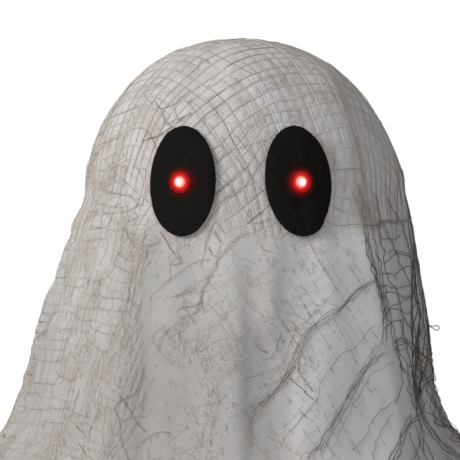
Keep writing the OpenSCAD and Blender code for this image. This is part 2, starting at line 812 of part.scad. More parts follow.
// Openings in both halves of the head shell
module head_openings() {
    translate([0, 0, pivot_z - 2 * head_r]) cylinder(r = 2 * head_r, h = 2 * head_r - neck_cut);
    translate([0, 0, pivot_z - 2 * head_r]) cylinder(r = neck_out_r + slide_gap, h = 2 * head_r);
    for (side = [-1, 1]) eye_rod(side, holder_d / 2, head_r - 20, head_r + 9);
    translate([0, 0, pivot_z] + grommet_at) rotate([grommet_tilt, 0, 0])
        cylinder(r = grommet_r, h = 4 * grommet_t, center = true);
}

// One half of the hollow ball, with the ledge that the neck's flange sits on
module head_half(front) {
    difference() {
        intersection() {
            head_ball(head_r);
            half_space(front);
        }
        difference() {
            head_ball(head_in_r);
            translate([0, 0, flange_z - head_r]) cylinder(r = head_r, h = head_r);
        }
    }
}

module head_shell_front() {
    color("gainsboro") difference() {
        union() {
            head_half(true);
            intersection() {
                head_ball(head_r - 1);
                union() for (at = head_posts) y_rod(post_r + 0.5, -head_r, front_plate_y, at);
            }
        }
        for (at = head_posts) y_rod(screw_r, front_plate_y - head_screw_tip - 1, front_plate_y + 1, at);
        head_openings();
    }
}

module head_shell_rear() {
    lip_w = 1.6;
    lip_len = 3;
    color("gainsboro") difference() {
        union() {
            head_half(false);
            difference() {
                union() {
                    y_rod(head_in_r - slide_gap, -lip_len, 0);
                    y_rod(head_in_r + 0.5, 0, lip_len);
                }
                y_rod(head_in_r - slide_gap - lip_w, -lip_len - 1, lip_len + 1);
                translate([0, 0, flange_z + flange_t + slide_gap - head_r])
                    cylinder(r = 2 * head_r, h = head_r);
            }
            intersection() {
                head_ball(head_r - 1);
                union() for (at = head_posts) y_rod(post_r + 0.5, rear_face_y, head_r, at);
            }
        }
        for (at = head_posts) {
            y_rod(screw_r, rear_face_y - 1, head_r, at);
            y_rod(2 * screw_r + slide_gap, head_screw_seat_y, head_r, at);
        }
        head_openings();
    }
}

module head_screws() {
    color("silver") for (at = head_posts)
        y_screw(screw_r, front_plate_y - head_screw_tip, head_screw_seat_y, at);
}

module neck_tube() {
    bottom = yoke_z - yoke_h / 2 + ledge;
    color("gainsboro") difference() {
        union() {
            translate([0, 0, bottom]) cylinder(r = neck_out_r, h = flange_z + flange_t - bottom);
            translate([0, 0, flange_z]) cylinder(r = flange_r, h = flange_t);
        }
        translate([0, 0, bottom - 1]) cylinder(r = neck_r, h = flange_z + flange_t - bottom + 2);
        for (side = [0, 180]) rotate(side) translate([0, 0, yoke_z]) rotate([0, 90, 90])
            cylinder(r = screw_r, h = 2 * neck_out_r);
    }
}

module neck_screws() {
    color("silver") for (side = [0, 180]) rotate(side) translate([0, 0, yoke_z]) rotate([90, 0, 0]) {
        translate([0, 0, neck_r + 0.4]) cylinder(r = screw_r, h = ring_r - neck_r - 0.4);
        translate([0, 0, ring_r - 3]) cylinder(r = 2 * screw_r, h = 3);
    }
}

module shoulder_yoke() {
    color("gainsboro") difference() {
        union() {
            translate([0, 0, yoke_z - yoke_h / 2]) cylinder(r = ring_r, h = yoke_h);
            translate([-yoke_end_x, -yoke_bar_w / 2, yoke_z - yoke_h / 2])
                cube([2 * yoke_end_x, yoke_bar_w, yoke_h]);
            translate([-14, bracket_y, box_top - board_bay_h - box_wall])
                cube([28, bracket_t, yoke_z + yoke_h / 2 - box_top + board_bay_h + box_wall]);
        }
        translate([0, 0, yoke_z - yoke_h / 2 - 1]) cylinder(r = neck_r, h = yoke_h + 2);
        translate([0, 0, yoke_z - yoke_h / 2 + ledge]) cylinder(r = neck_out_r, h = yoke_h);
        for (side = [-1, 1]) on_side(side) arm_rod(arm_d / 2);
        for (side = [0, 180]) rotate(side) translate([0, 0, yoke_z]) rotate([90, 0, 0]) {
            translate([0, 0, neck_r]) cylinder(r = screw_r, h = ring_r);
            translate([0, 0, ring_r - 3]) cylinder(r = 2 * screw_r, h = ring_r);
        }
        for (side = [-1, 1]) translate([9 * side, box_y - 6, switch_z]) rotate([-90, 0, 0])
            cylinder(r = screw_r, h = 20);
    }
}

// One arm rod on the +X side, at a given radius
module arm_rod(r) {
    translate([arm_root_x, 0, yoke_z]) rotate([0, 90 + arm_droop, 0]) cylinder(r = r, h = arm_len);
}

module arm(side) {
    color("silver") on_side(side) arm_rod(arm_d / 2);
}

module arm_tip(side) {
    color("whitesmoke") on_side(side) difference() {
        translate([tip_x, 0, tip_z]) sphere(r = tip_r);
        arm_rod(arm_d / 2);
    }
}

// Battery box on the back of the yoke

module battery_box() {
    post_x = bay_w / 2 - 6;
    color("dimgray") for (side = [-1, 1]) translate([side * post_x, bay_y, switch_z]) rotate([-90, 0, 0])
        cylinder(r = 2, h = board_y - bay_y);
    color("dimgray") difference() {
        translate([-box_w / 2, box_y, box_z]) cube([box_w, box_d, box_h]);
        translate([-bay_w / 2, bay_y, bay_z]) cube([bay_w, box_d, bay_h]);
        translate([-bay_w / 2, bay_y, board_z]) cube([bay_w, bay_d, board_bay_h]);
        translate([-box_w / 2 + box_wall, door_y - slide_gap, box_z - 1])
            cube([box_w - 2 * box_wall, door_t + 2 * slide_gap, board_z - box_z + 1 - box_wall / 2]);
        translate([-bay_w / 2, door_y, box_z - 1]) cube([bay_w, box_d, bay_z - box_z + 2]);
        translate([0, wire_hole_y, box_top - box_wall - 1]) cylinder(r = wire_hole_r, h = box_wall + 2);
        translate([bay_w / 2 - 1, switch_y - switch_w / 2 - slide_gap, switch_z - switch_w / 2 - slide_gap])
            cube([side_wall + 2, switch_w + switch_travel + 2 * slide_gap, switch_w + 2 * slide_gap]);
        for (side = [-1, 1]) translate([9 * side, box_y - 1, switch_z]) rotate([-90, 0, 0])
            cylinder(r = screw_r, h = box_wall + 2);
    }
}

module box_screws() {
    color("silver") for (side = [-1, 1]) translate([9 * side, 0, switch_z]) rotate([-90, 0, 0]) {
        translate([0, 0, box_y - 6]) cylinder(r = screw_r, h = box_wall + 6);
        translate([0, 0, bay_y]) cylinder(r = 2 * screw_r, h = 1.6);
    }
}

// Middle of a cell across the box
function cell_x(i) = (i - (cell_count - 1) / 2) * (cell_d + 0.5);

module battery_cells() {
    nub_h = 1.2;
    color("goldenrod") for (i = [0:cell_count - 1])
        translate([cell_x(i), bay_y + cell_d / 2 + 0.3, bay_z + bay_h / 2]) rotate([180 * (i % 2), 0, 0])
            translate([0, 0, -cell_len / 2]) {
                cylinder(d = cell_d, h = cell_len - nub_h);
                cylinder(r = 2.7, h = cell_len);
            }
}

module battery_contacts() {
    plate = 0.6;
    color("silver") for (i = [0:cell_count - 1]) for (end = [0, 1])
        translate([cell_x(i), bay_y + cell_d / 2 + 0.3, bay_z + end * bay_h]) mirror([0, 0, end]) {
            translate([-5, -5, 0]) cube([10, 10, plate]);
            cylinder(r1 = 4.5, r2 = 2.5, h = (bay_h - cell_len) / 2);
        }
}

module battery_door() {
    ridge_h = 0.8;
    door_h = bay_h + box_wall + box_wall / 2 - slide_gap;
    color("dimgray") {
        translate([-bay_w / 2 - door_lap + slide_gap, door_y, box_z])
            cube([bay_w + 2 * door_lap - 2 * slide_gap, door_t, door_h]);
        for (k = [0:4]) translate([-8, door_y + door_t, box_z + 6 + 2.4 * k]) cube([16, ridge_h, 1.2]);
    }
}

module control_board() {
    board_w = bay_w - 6;
    board_low = board_z + 2;
    color("seagreen") translate([-board_w / 2, board_y, board_low])
        cube([board_w, board_t, board_top - board_low]);
    color("black") translate([-10, board_y + board_t, board_low + 5]) cube([10, 2, 9]);
    color("silver") translate([bay_w / 2 - 11, board_y + board_t, switch_z - 4]) cube([7, 8, 8]);
}

module power_switch() {
    knob_h = 3;
    color("black") translate([bay_w / 2 - 3.7, switch_y - switch_w / 2, switch_z - switch_w / 2])
        cube([side_wall + 3.7 + knob_h, switch_w, switch_w]);
}

module wire_grommet() {
    color("black") translate([0, 0, pivot_z] + grommet_at) rotate([grommet_tilt, 0, 0]) difference() {
        cylinder(r = grommet_r, h = grommet_t, center = true);
        cylinder(r = grommet_r - grommet_wall, h = 2 * grommet_t, center = true);
    }
}

module wire_harness() {
    centre = [0, 0, pivot_z];
    start = [0, board_y + board_t / 2, board_top - pivot_z];
    apart = [lead_gap, 0, 0];
    rise = [0, 0, 3];
    leg = [led_leg_r * sin(eye_turn), -led_leg_r * cos(eye_turn), eye_rise];
    cap = [motor_at[0], rear_plate_y + motor_boss_t, motor_at[1]];
    color("firebrick") {
        translate(centre) tube(concat([start, start + rise], motor_lead, [cap + [0, 8, 0], cap]), wire_r);
        for (side = [-1, 1]) on_side(side) translate(centre)
            tube(concat([start + apart, start + apart + rise], [for (p = lamp_lead) p + apart], [leg]),
                wire_r);
    }
}

// Lamps in the eyes

module led_holder(side) {
    color("black") difference() {
        union() {
            eye_rod(side, holder_d / 2, head_r - 7, cloth_r + patch_off + felt_t + 0.2);
            eye_rod(side, holder_d / 2 + 1.2, cloth_r + patch_off + felt_t + 0.2,
                cloth_r + patch_off + felt_t + 1.6);
        }
        eye_rod(side, led_d / 2 + running_gap, head_r - 8, head_r + 20);
        eye_rod(side, led_d / 2 + 0.6, head_r - 8, head_r);
    }
}

module holder_nuts() {
    nut_r = holder_d / 2 + 2.5;
    nut_t = 3;
    seat = sqrt(pow(head_in_r, 2) - pow(eye_rise + nut_r, 2));
    color("black") for (side = [-1, 1]) difference() {
        eye_rod(side, nut_r, seat - nut_t, seat);
        eye_rod(side, holder_d / 2, seat - nut_t - 1, seat + 1);
    }
}

module led(side) {
    tip = cloth_r + patch_off + felt_t + 3.4;
    color("red") {
        eye_rod(side, led_d / 2, head_r - 2, tip - led_d / 2);
        eye_rod(side, led_d / 2 + 0.5, head_r - 2, head_r);
        translate([0, 0, eye_z]) rotate([0, 0, side * eye_turn]) translate([0, -tip + led_d / 2, 0])
            sphere(d = led_d);
    }
    color("silver") eye_rod(side, 0.4, led_leg_r, head_r - 2);
}

// Cloth layers and eye patches

// Holes for both lamp holders
module lamp_holes() {
    for (side = [-1, 1]) eye_rod(side, holder_d / 2 + layer_gap, head_r - 4, head_r + 20);
}

module drape() {
    color("whitesmoke") difference() {
        cloth_layer(0, drape_t, false);
        lamp_holes();
    }
}

module gauze() {
    color("tan") difference() {
        cloth_layer(gauze_off, gauze_t, true);
        lamp_holes();
    }
}

// A felt oval that lies on the front of the cloth
module eye_patch(side) {
    sides = 32;
    rings = 3;
    middle_x = side * cloth_r * sin(eye_turn);
    at = [for (k = [1:rings]) for (i = [0:sides - 1]) let (a = i * 360 / sides)
        [middle_x + eye_w / 2 * k / rings * cos(a), eye_z + eye_h / 2 * k / rings * sin(a)]];
    size = 1 + len(at);
    front = [for (p = concat([[middle_x, eye_z]], at)) face_point(p[0], p[1], patch_off + felt_t)];
    back = [for (p = concat([[middle_x, eye_z]], at)) face_point(p[0], p[1], patch_off)];
    fan = [for (i = [0:sides - 1]) [0, 1 + (i + 1) % sides, 1 + i]];
    bands = [for (k = [0:rings - 2]) for (i = [0:sides - 1]) let (
            j = (i + 1) % sides, a = 1 + k * sides, b = a + sides)
        each [[a + i, a + j, b + j], [a + i, b + j, b + i]]];
    rim = [for (i = [0:sides - 1]) let (j = (i + 1) % sides, a = 1 + (rings - 1) * sides)
        each [[a + i, a + j, size + a + j], [a + i, size + a + j, size + a + i]]];
    color("black") difference() {
        polyhedron(concat(front, back), concat(
            fan, bands, rim,
            [for (f = concat(fan, bands)) [size + f[0], size + f[2], size + f[1]]]));
        eye_rod(side, holder_d / 2, head_r, head_r + 20);
    }
}

base_shell();
base_cover();
base_screws();
ballast_plate();
rubber_feet();
lower_pole();
pole_collar();
upper_pole();
snap_button();
snap_spring();
pivot_block();
pole_rivet();
swing_shaft();
shaft_spacer();
shaft_clips();
sector_gear();
sector_screws();
chassis_front();
chassis_rear();
chassis_screws();
shaft_bushes();
gear_axles();
output_gear();
reduction_gear();
motor_pinion();
motor_shaft();
motor_can();
motor_end_cap();
head_shell_front();
head_shell_rear();
head_screws();
neck_tube();
neck_screws();
shoulder_yoke();
arm(1);  // arm_left
arm(-1);  // arm_right
arm_tip(1);  // arm_tip_left
arm_tip(-1);  // arm_tip_right
battery_box();
box_screws();
battery_cells();
battery_contacts();
battery_door();
control_board();
power_switch();
wire_grommet();
wire_harness();
led_holder(1);  // led_holder_left
led_holder(-1);  // led_holder_right
holder_nuts();
led(1);  // led_left
led(-1);  // led_right
drape();
gauze();
eye_patch(1);  // eye_patch_left
eye_patch(-1);  // eye_patch_right
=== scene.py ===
import json
import math
import bpy
import numpy as np
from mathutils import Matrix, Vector


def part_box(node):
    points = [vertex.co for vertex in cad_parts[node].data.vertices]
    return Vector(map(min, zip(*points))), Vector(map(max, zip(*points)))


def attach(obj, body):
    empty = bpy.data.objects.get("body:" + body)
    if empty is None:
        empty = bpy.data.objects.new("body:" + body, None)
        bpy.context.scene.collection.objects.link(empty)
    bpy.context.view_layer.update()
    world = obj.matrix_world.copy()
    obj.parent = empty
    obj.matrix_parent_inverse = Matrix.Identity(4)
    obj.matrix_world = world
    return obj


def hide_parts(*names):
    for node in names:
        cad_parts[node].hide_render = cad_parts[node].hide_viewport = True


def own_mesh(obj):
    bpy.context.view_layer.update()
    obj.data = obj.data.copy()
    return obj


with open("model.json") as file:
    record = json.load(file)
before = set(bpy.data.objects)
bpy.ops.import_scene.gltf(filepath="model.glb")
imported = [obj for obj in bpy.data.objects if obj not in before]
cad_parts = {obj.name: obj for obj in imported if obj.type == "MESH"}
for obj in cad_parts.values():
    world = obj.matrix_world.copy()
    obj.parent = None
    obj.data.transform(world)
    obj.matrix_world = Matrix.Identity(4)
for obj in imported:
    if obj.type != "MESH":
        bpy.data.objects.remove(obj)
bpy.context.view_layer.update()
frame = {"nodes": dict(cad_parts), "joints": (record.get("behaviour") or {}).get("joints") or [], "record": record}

ghost = "ghost"
print("frame loaded:", len(frame["nodes"]), "nodes")


class Tone:  # one socket, so that shader sums are written as sums
    def __init__(self, finish, socket):
        self.finish = finish
        self.socket = socket

    def sum(self, operation, first, second):
        return self.finish.node("Math", {"operation": operation}, {0: first, 1: second})

    def __add__(self, other):
        return self.sum("ADD", self, other)

    def __radd__(self, other):
        return self.sum("ADD", other, self)

    def __sub__(self, other):
        return self.sum("SUBTRACT", self, other)

    def __rsub__(self, other):
        return self.sum("SUBTRACT", other, self)

    def __mul__(self, other):
        return self.sum("MULTIPLY", self, other)

    def __pow__(self, other):
        return self.sum("POWER", self, other)

    def sine(self):
        return self.finish.node("Math", {"operation": "SINE"}, {0: self})

    def within(self, low, high):  # 0 at low, 1 at high, held there outside
        sockets = {"Value": self, "From Min": low, "From Max": high}
        return self.finish.node("MapRange", {"clamp": True}, sockets)


class Finish:  # one material and its nodes
    def __init__(self, name, **sockets):
        self.material = bpy.data.materials.new(name)
        self.material.use_nodes = True
        self.tree = self.material.node_tree
        self.tree.nodes.clear()
        self.output = self.tree.nodes.new("ShaderNodeOutputMaterial")
        self.shader = self.tree.nodes.new("ShaderNodeBsdfPrincipled")
        self.tree.links.new(self.shader.outputs[0], self.output.inputs["Surface"])
        self.set({key.replace("_", " "): value for key, value in sockets.items()})

    def set(self, sockets):
        for key, value in sockets.items():
            self.feed(self.shader.inputs[key], value)

    def feed(self, socket, value):
        if isinstance(value, Tone):
            self.tree.links.new(value.socket, socket)
        else:
            socket.default_value = value

    def node(self, kind, settings, sockets, output=0):
        made = self.tree.nodes.new("ShaderNode" + kind)
        for key, value in settings.items():
            if key == "stops":
                while len(made.color_ramp.elements) < len(value):
                    made.color_ramp.elements.new(0.5)
                for stop, (place, colour) in zip(made.color_ramp.elements, value):
                    stop.position = place
                    stop.color = (*colour, 1)
            else:
                setattr(made, key, value)
        for key, value in sockets.items():
            self.feed(made.inputs[key], value)
        return Tone(self, made.outputs[output])

    def place(self):
        return self.node("TexCoord", {}, {}, "Object")

    def map(self, name):
        return self.node("UVMap", {"uv_map": name}, {}, "UV")

    def kept(self, name):  # a number kept at each point of the mesh
        return self.node("Attribute", {"attribute_name": name}, {}, "Fac")

    def noise(self, size, detail=3.0, rough=0.55, where=None):
        where = where or self.place()
        sockets = {"Vector": where, "Scale": 1 / size, "Detail": detail, "Roughness": rough}
        return self.node("TexNoise", {}, sockets)

    def mix(self, share, first, second, way="MIX"):
        first, second = [tone if isinstance(tone, Tone) else (*tone, 1) for tone in (first, second)]
        settings = {"data_type": "RGBA", "blend_type": way}
        return self.node("Mix", settings, {0: share, 6: first, 7: second}, 2)

    def ramp(self, value, stops):
        return self.node("ValToRGB", {"stops": stops}, {"Fac": value})

    def bump(self, height, distance, strength=1.0):
        sockets = {"Height": height, "Distance": distance, "Strength": strength}
        self.set({"Normal": self.node("Bump", {}, sockets)})

    def axis(self, where, letter):
        return self.node("SeparateXYZ", {}, {0: where}, letter)


def deselectAll():
    if bpy.context.object and bpy.context.object.mode != "OBJECT":
        bpy.ops.object.mode_set(mode="OBJECT")
    bpy.ops.object.select_all(action="DESELECT")


def pickUp(piece):
    deselectAll()
    piece.select_set(True)
    bpy.context.view_layer.objects.active = piece


def applyModifier(piece, kind, **settings):
    pickUp(piece)
    modifier = piece.modifiers.new(kind.lower(), kind)
    for key, value in settings.items():
        setattr(modifier, key, value)
    bpy.ops.object.modifier_apply(modifier=modifier.name)


def editAll(piece, *steps):  # edit operators, run on the whole of one piece
    pickUp(piece)
    bpy.ops.object.mode_set(mode="EDIT")
    bpy.ops.mesh.select_all(action="SELECT")
    for step, settings in steps:
        step(**settings)
    bpy.ops.object.mode_set(mode="OBJECT")


def jointOf(name):
    return next(joint for joint in frame["joints"] if joint["name"] == name)


def ripple(points, size, seed):  # soft seeded noise, about -1 to 1, from a few plane waves
    rng = np.random.default_rng(seed)
    way = rng.normal(size=(12, points.shape[-1]))
    way /= np.linalg.norm(way, axis=1)[:, None]
    way *= (2 * np.pi / size * rng.uniform(0.6, 1.5, 12))[:, None]
    return np.sin(points @ way.T + rng.uniform(0, 2 * np.pi, 12)).sum(-1) / 4


def easy(value, low, high):  # smooth step that also runs downhill
    share = np.clip((value - low) / (high - low), 0, 1)
    return share * share * (3 - 2 * share)


# camera and light
picture = {"crown": (240, 37), "perMetre": 2200, "side": 460, "away": 1.6, "face": 0.07}
sensor = 36
pivotZ = jointOf("swing")["pos_m"][2]
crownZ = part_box("gauze")[1].z
aim = ((picture["side"] / 2 - picture["crown"][0]) / picture["perMetre"],
       crownZ - (picture["side"] / 2 - picture["crown"][1]) / picture["perMetre"])

deselectAll()
bpy.ops.object.camera_add(location=(aim[0], -picture["away"], aim[1]), rotation=(math.pi / 2, 0, 0))
camera = bpy.context.object
camera.data.sensor_width = sensor
camera.data.lens = sensor * picture["away"] * picture["perMetre"] / picture["side"]
camera.data.clip_start = 0.05
camera.data.clip_end = 60
bpy.context.scene.camera = camera
bpy.context.scene.view_settings.view_transform = "Standard"

lamps = {
    "keyLamp": {"at": (-1.02, -0.68, 1.36), "size": 0.6, "watts": 12.2, "tint": (1, 0.985, 0.96)},
    "fillLamp": {"at": (0.3, -1.8, 1.0), "size": 1.3, "watts": 7.4, "tint": (0.97, 0.98, 1)},
    "topLamp": {"at": (-0.1, 0.2, 2.3), "size": 1.0, "watts": 3, "tint": (1, 1, 1)},
    "backLamp": {"at": (-1.1, 1.6, 1.2), "size": 0.9, "watts": 10, "tint": (1, 1, 1)},
}
lit = Vector((0, 0, 0.8))  # the place that all lamps face
for name, lamp in lamps.items():
    at = Vector(lamp["at"])
    turn = (lit - at).to_track_quat("-Z", "Y").to_euler()
    bpy.ops.object.light_add(type="AREA", location=at, rotation=turn)
    bpy.context.object.name = name
    bpy.context.object.data.size = lamp["size"]
    bpy.context.object.data.energy = lamp["watts"]
    bpy.context.object.data.color = lamp["tint"]
    bpy.context.object.visible_camera = False

room = {"backdrop": (1, 1, 1, 1), "ambient": (0.24, 0.24, 0.25, 1), "radius": 1.6,
        "floor": [(0.84, 0.84, 0.83), (0.86, 0.86, 0.85)]}
world = bpy.data.worlds.new("room")
bpy.context.scene.world = world
world.use_nodes = True
roomTree = world.node_tree
rays = roomTree.nodes.new("ShaderNodeLightPath")
seen = rays.outputs["Is Camera Ray"]
for ray in ("Is Glossy Ray", "Is Transmission Ray"):  # the backdrop shows straight, mirrored or through glass
    either = roomTree.nodes.new("ShaderNodeMath")
    either.operation = "MAXIMUM"
    roomTree.links.new(seen, either.inputs[0])
    roomTree.links.new(rays.outputs[ray], either.inputs[1])
    seen = either.outputs[0]
backdrop = roomTree.nodes.new("ShaderNodeMix")
backdrop.data_type = "RGBA"
backdrop.inputs[6].default_value = room["ambient"]
backdrop.inputs[7].default_value = room["backdrop"]
roomTree.links.new(seen, backdrop.inputs[0])
roomTree.links.new(backdrop.outputs[2], roomTree.nodes["Background"].inputs["Color"])
roomTree.nodes["Background"].inputs["Strength"].default_value = 1

deselectAll()
bpy.ops.mesh.primitive_circle_add(vertices=128, radius=room["radius"], fill_type="NGON")
floor = bpy.context.object
floor.name = "floor"
floorFinish = Finish("paleFloor", Roughness=0.8)
floorFinish.set({"Base Color": floorFinish.mix(floorFinish.noise(0.4), *room["floor"])})
floor.data.materials.append(floorFinish.material)
print("camera, lamps and floor made")

# the cloth's form: one surface that the drape, the gauze and the eyes all follow
form = {
    "thick": 0.0012, "foldCount": 8, "foldDepth": 0.012, "foldSway": math.radians(4),
    "rings": [  # height, half width, half depth, lean to the left, share of the fold
        (pivotZ, 0.0680, 0.0680, 0, 0), (pivotZ - 0.050, 0.0825, 0.0740, 0.0036, 0.12),
        (pivotZ - 0.092, 0.0900, 0.0790, 0.0055, 0.25), (pivotZ - 0.108, 0.0955, 0.0810, 0.0050, 0.30),
        (pivotZ - 0.1432, 0.1415, 0.0880, 0.0019, 0.35), (pivotZ - 0.1753, 0.1879, 0.0930, 0, 0.40),
        (pivotZ - 0.1984, 0.2029, 0.0970, 0, 0.45), (pivotZ - 0.4759, 0.2085, 0.1235, 0, 0.75)],
    "hem": (0.2140, 0.1500, 0, 1.0),
    "step": 0.001, "blur": 0.005,
    "sideSwell": [  # height, and how far the right side stands out there
        (0.758, 0), (0.767, 0.0012), (0.781, 0.0022), (0.795, 0.0030), (0.808, 0.0037), (0.822, 0.0046),
        (0.835, 0.0055), (0.849, 0.0048), (0.863, 0.0024), (0.876, 0.0014), (0.890, 0.0012), (0.905, 0)],
    "crownSwell": (0.0010, 0.036, 0.018),  # how high, at what drop, how broad
    "skirtFolds": [(13, 0.0058, 14), (21, 0.0028, 15)],  # how many round the hem, how deep, seed
    "wrinkle": (0.030, 0.0005, 11), "crumple": (0.012, 0.00018, 12),  # size, how high, seed
    "scallop": (0.014, 0.00042, 13),
}
fades = {  # the two values between which a form comes in
    "faceTurn": (0.25, 0.60), "faceFoot": (0.64, 0.72), "faceTop": (0.842, 0.816),
    "ridgeTurn": (0.1, 0.35), "ridgeFoot": (0.70, 0.74), "swellTurn": (0.6, 1.0), "skirt": (0.71, 0.36),
    "wrinkle": (0.06, 0.16), "scallopTurn": (0.75, 1.0), "scallop": (0.05, 0.12),
    "puff": (0.36, 0.30), "puffTorn": (0.3, -0.5), "gather": (0.09, 0.24), "drift": (0.03, 0.15),
    "tears": (0.74, 0.60), "torn": (-0.45, 0.35),
}
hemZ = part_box("drape")[0].z
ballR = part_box("drape")[1].z - pivotZ
quarter = ballR * math.pi / 2
collarDrop = quarter + pivotZ  # less a height below the ball's middle, this is the drop to it
fullDrop = collarDrop - hemZ
ringRows = np.array(form["rings"] + [(hemZ, *form["hem"])])
ringRows[:, 1:3] += form["thick"]

dropSteps = np.arange(0, fullDrop + 0.03, form["step"])


def ringTable(column):  # one ring size against the drop from the crown, with its corners eased
    values = np.interp(dropSteps, collarDrop - ringRows[:, 0], ringRows[:, column])
    count = int(form["blur"] / form["step"])
    for _ in range(2):
        padded = np.pad(values, count, mode="edge")
        values = np.convolve(padded, np.ones(2 * count + 1) / (2 * count + 1), mode="valid")
    if column < 3:
        dome = ballR * np.sin(np.minimum(dropSteps / ballR, math.pi / 2))
        share = easy(dropSteps, quarter - 0.03, quarter + 0.02)
        values = dome * (1 - share) + values * share
    return values


tables = [ringTable(column) for column in (1, 2, 3, 4)]
wideTable, deepTable, leanTable, _ = tables

faceFolds = [  # place across the front at the collar, width, height, and the height where it ends
    (-0.0460, 0.0088, 0.0042, 0.68), (-0.0295, 0.0070, 0.0008, 0.68), (-0.0014, 0.0108, 0.0027, 0.68),
    (0.0178, 0.0072, 0.0020, 0.775), (0.0418, 0.0080, 0.0012, 0.68)]
rightCrease = [(366, 250), (375, 290), (381, 335), (390, 375), (398, 420), (402, 475)]
pleats = [  # picture pixels of each crest, its height, how far it falls off to its left and right
    {"crest": [(322, 58), (333, 92), (345, 130), (354, 175), (360, 215)] + rightCrease,
     "high": 0.0030, "left": 0.010, "right": 0.0032},
    {"crest": [(360, 225)] + rightCrease, "high": 0.0072, "left": 0.030, "right": 0.008},
    {"crest": [(240, 296), (242, 350), (242, 400), (243, 475)],
     "high": 0.0010, "left": 0.006, "right": 0.0017},
    {"crest": [(322, 366), (312, 400), (306, 430), (302, 475)],
     "high": 0.0012, "left": 0.005, "right": 0.014},
    {"crest": [(288, 322), (288, 350), (288, 380), (290, 420), (292, 475)],
     "high": -0.0018, "left": 0.019, "right": 0.0038}]


def onPicture(pixels):  # across and height of places in the picture, at the depth of the face
    pixels = np.asarray(pixels, float) - picture["side"] / 2
    near = (1 - picture["face"] / picture["away"]) / picture["perMetre"]
    return aim[0] + pixels[..., 0] * near, aim[1] - pixels[..., 1] * near


for pleat in pleats:
    pleat["across"], pleat["height"] = [values[::-1] for values in onPicture(pleat["crest"])]

gauze = {
    "cell": 0.0058, "ways": (32, -54), "even": 0.080, "gather": 0.80, "puff": 0.0003, "pillow": 0.62,
    "tatter": 0.028, "seed": 2617,
    "tones": [(0, (0.040, 0.036, 0.032)), (0.35, (0.18, 0.150, 0.122)),
              (0.7, (0.46, 0.395, 0.335)), (1, (0.76, 0.70, 0.63))],
    "bunches": [(11, 0.20, 1.3, 1), (19, 0.16, 0.4, -1), (31, 0.10, 2.1, 2)],  # count, pull, start, sway
}
biasWays = np.array([[math.cos(math.radians(way)), math.sin(math.radians(way))] for way in gauze["ways"]])
biasAcross = np.stack([-biasWays[:, 1], biasWays[:, 0]])


def bunched(turn, drop):  # yarns drawn together sideways further down
    sway = 3 * ripple(np.stack([drop, drop * 0], -1), 0.25, 31)
    moved = sum(pull / count * np.sin(count * turn + start + part * sway)
                for count, pull, start, part in gauze["bunches"])
    return turn + easy(drop, *fades["gather"]) * moved


def drifted(flat):  # the weave's uneven lie, the same for all yarns
    sway = easy(np.linalg.norm(flat, axis=-1), *fades["drift"])[..., None]
    return np.stack([ripple(flat, 0.05, 21), ripple(flat, 0.05, 22)], -1) * (0.0012 + 0.0028 * sway)


def clothFromFlat(flat):  # a point of the flat gauze, from its middle, to turn and drop on the cloth
    flat = flat + drifted(flat)
    reach = np.linalg.norm(flat, axis=-1)
    drop = np.where(reach < gauze["even"], reach, gauze["even"] + (reach - gauze["even"]) / gauze["gather"])
    return bunched(np.arctan2(flat[..., 1], flat[..., 0]), drop), drop


def flatFromCloth(turn, drop):  # and back
    flatTurn = turn
    for _ in range(4):
        flatTurn = flatTurn - (bunched(flatTurn, drop) - turn)
    reach = np.where(drop < gauze["even"], drop, gauze["even"] + (drop - gauze["even"]) * gauze["gather"])
    flat = np.stack([np.cos(flatTurn), np.sin(flatTurn)], -1) * reach[..., None]
    return flat - drifted(flat)


zones = {  # places on the cloth: axis, and the two values between which the place comes in
    "bare": [("x", -0.048, -0.034), ("x", 0.094, 0.082), ("z", 0.838, 0.804), ("y", -0.008, -0.022),
             ("z", 0.63, 0.71)],
    "middle": [("x", -0.066, -0.046), ("x", 0.028, 0.012), ("z", 0.60, 0.71)],
    "hollow": [("x", -0.012, -0.002), ("x", 0.030, 0.020), ("z", 0.81, 0.785), ("z", 0.64, 0.71)],
    "cheek": [("x", -0.008, -0.022), ("z", 0.785, 0.81)],
    # where the yarns are painted darker as painted shade, at the right of the head
    "dark": [("x", 0.048, 0.078), ("z", 0.872, 0.83)],
    "faint": [("x", 0.010, 0.035), ("z", 0.845, 0.865), ("x", 0.065, 0.050)],
}


def inZone(name, points):  # how far points lie in one of these places, 0 to 1
    share = 1
    for axis, low, high in zones[name]:
        share = share * easy(points[..., "xyz".index(axis)], low, high)
    return share


def gone(points, flat):  # above 0 where the gauze is torn away
    low = easy(points[..., 2], *fades["tears"])
    tears = ripple(points * [1, 1, 0.22], 0.045, 42)  # long upright tears lower down
    return 0.28 * ripple(flat, 0.06, 41) - 1.0 + 1.7 * inZone("bare", points) + low * (0.30 + 0.62 * tears)


def small(seat, name):  # wrinkles of one size
    size, high, seed = form[name]
    return ripple(seat, size, seed) * high


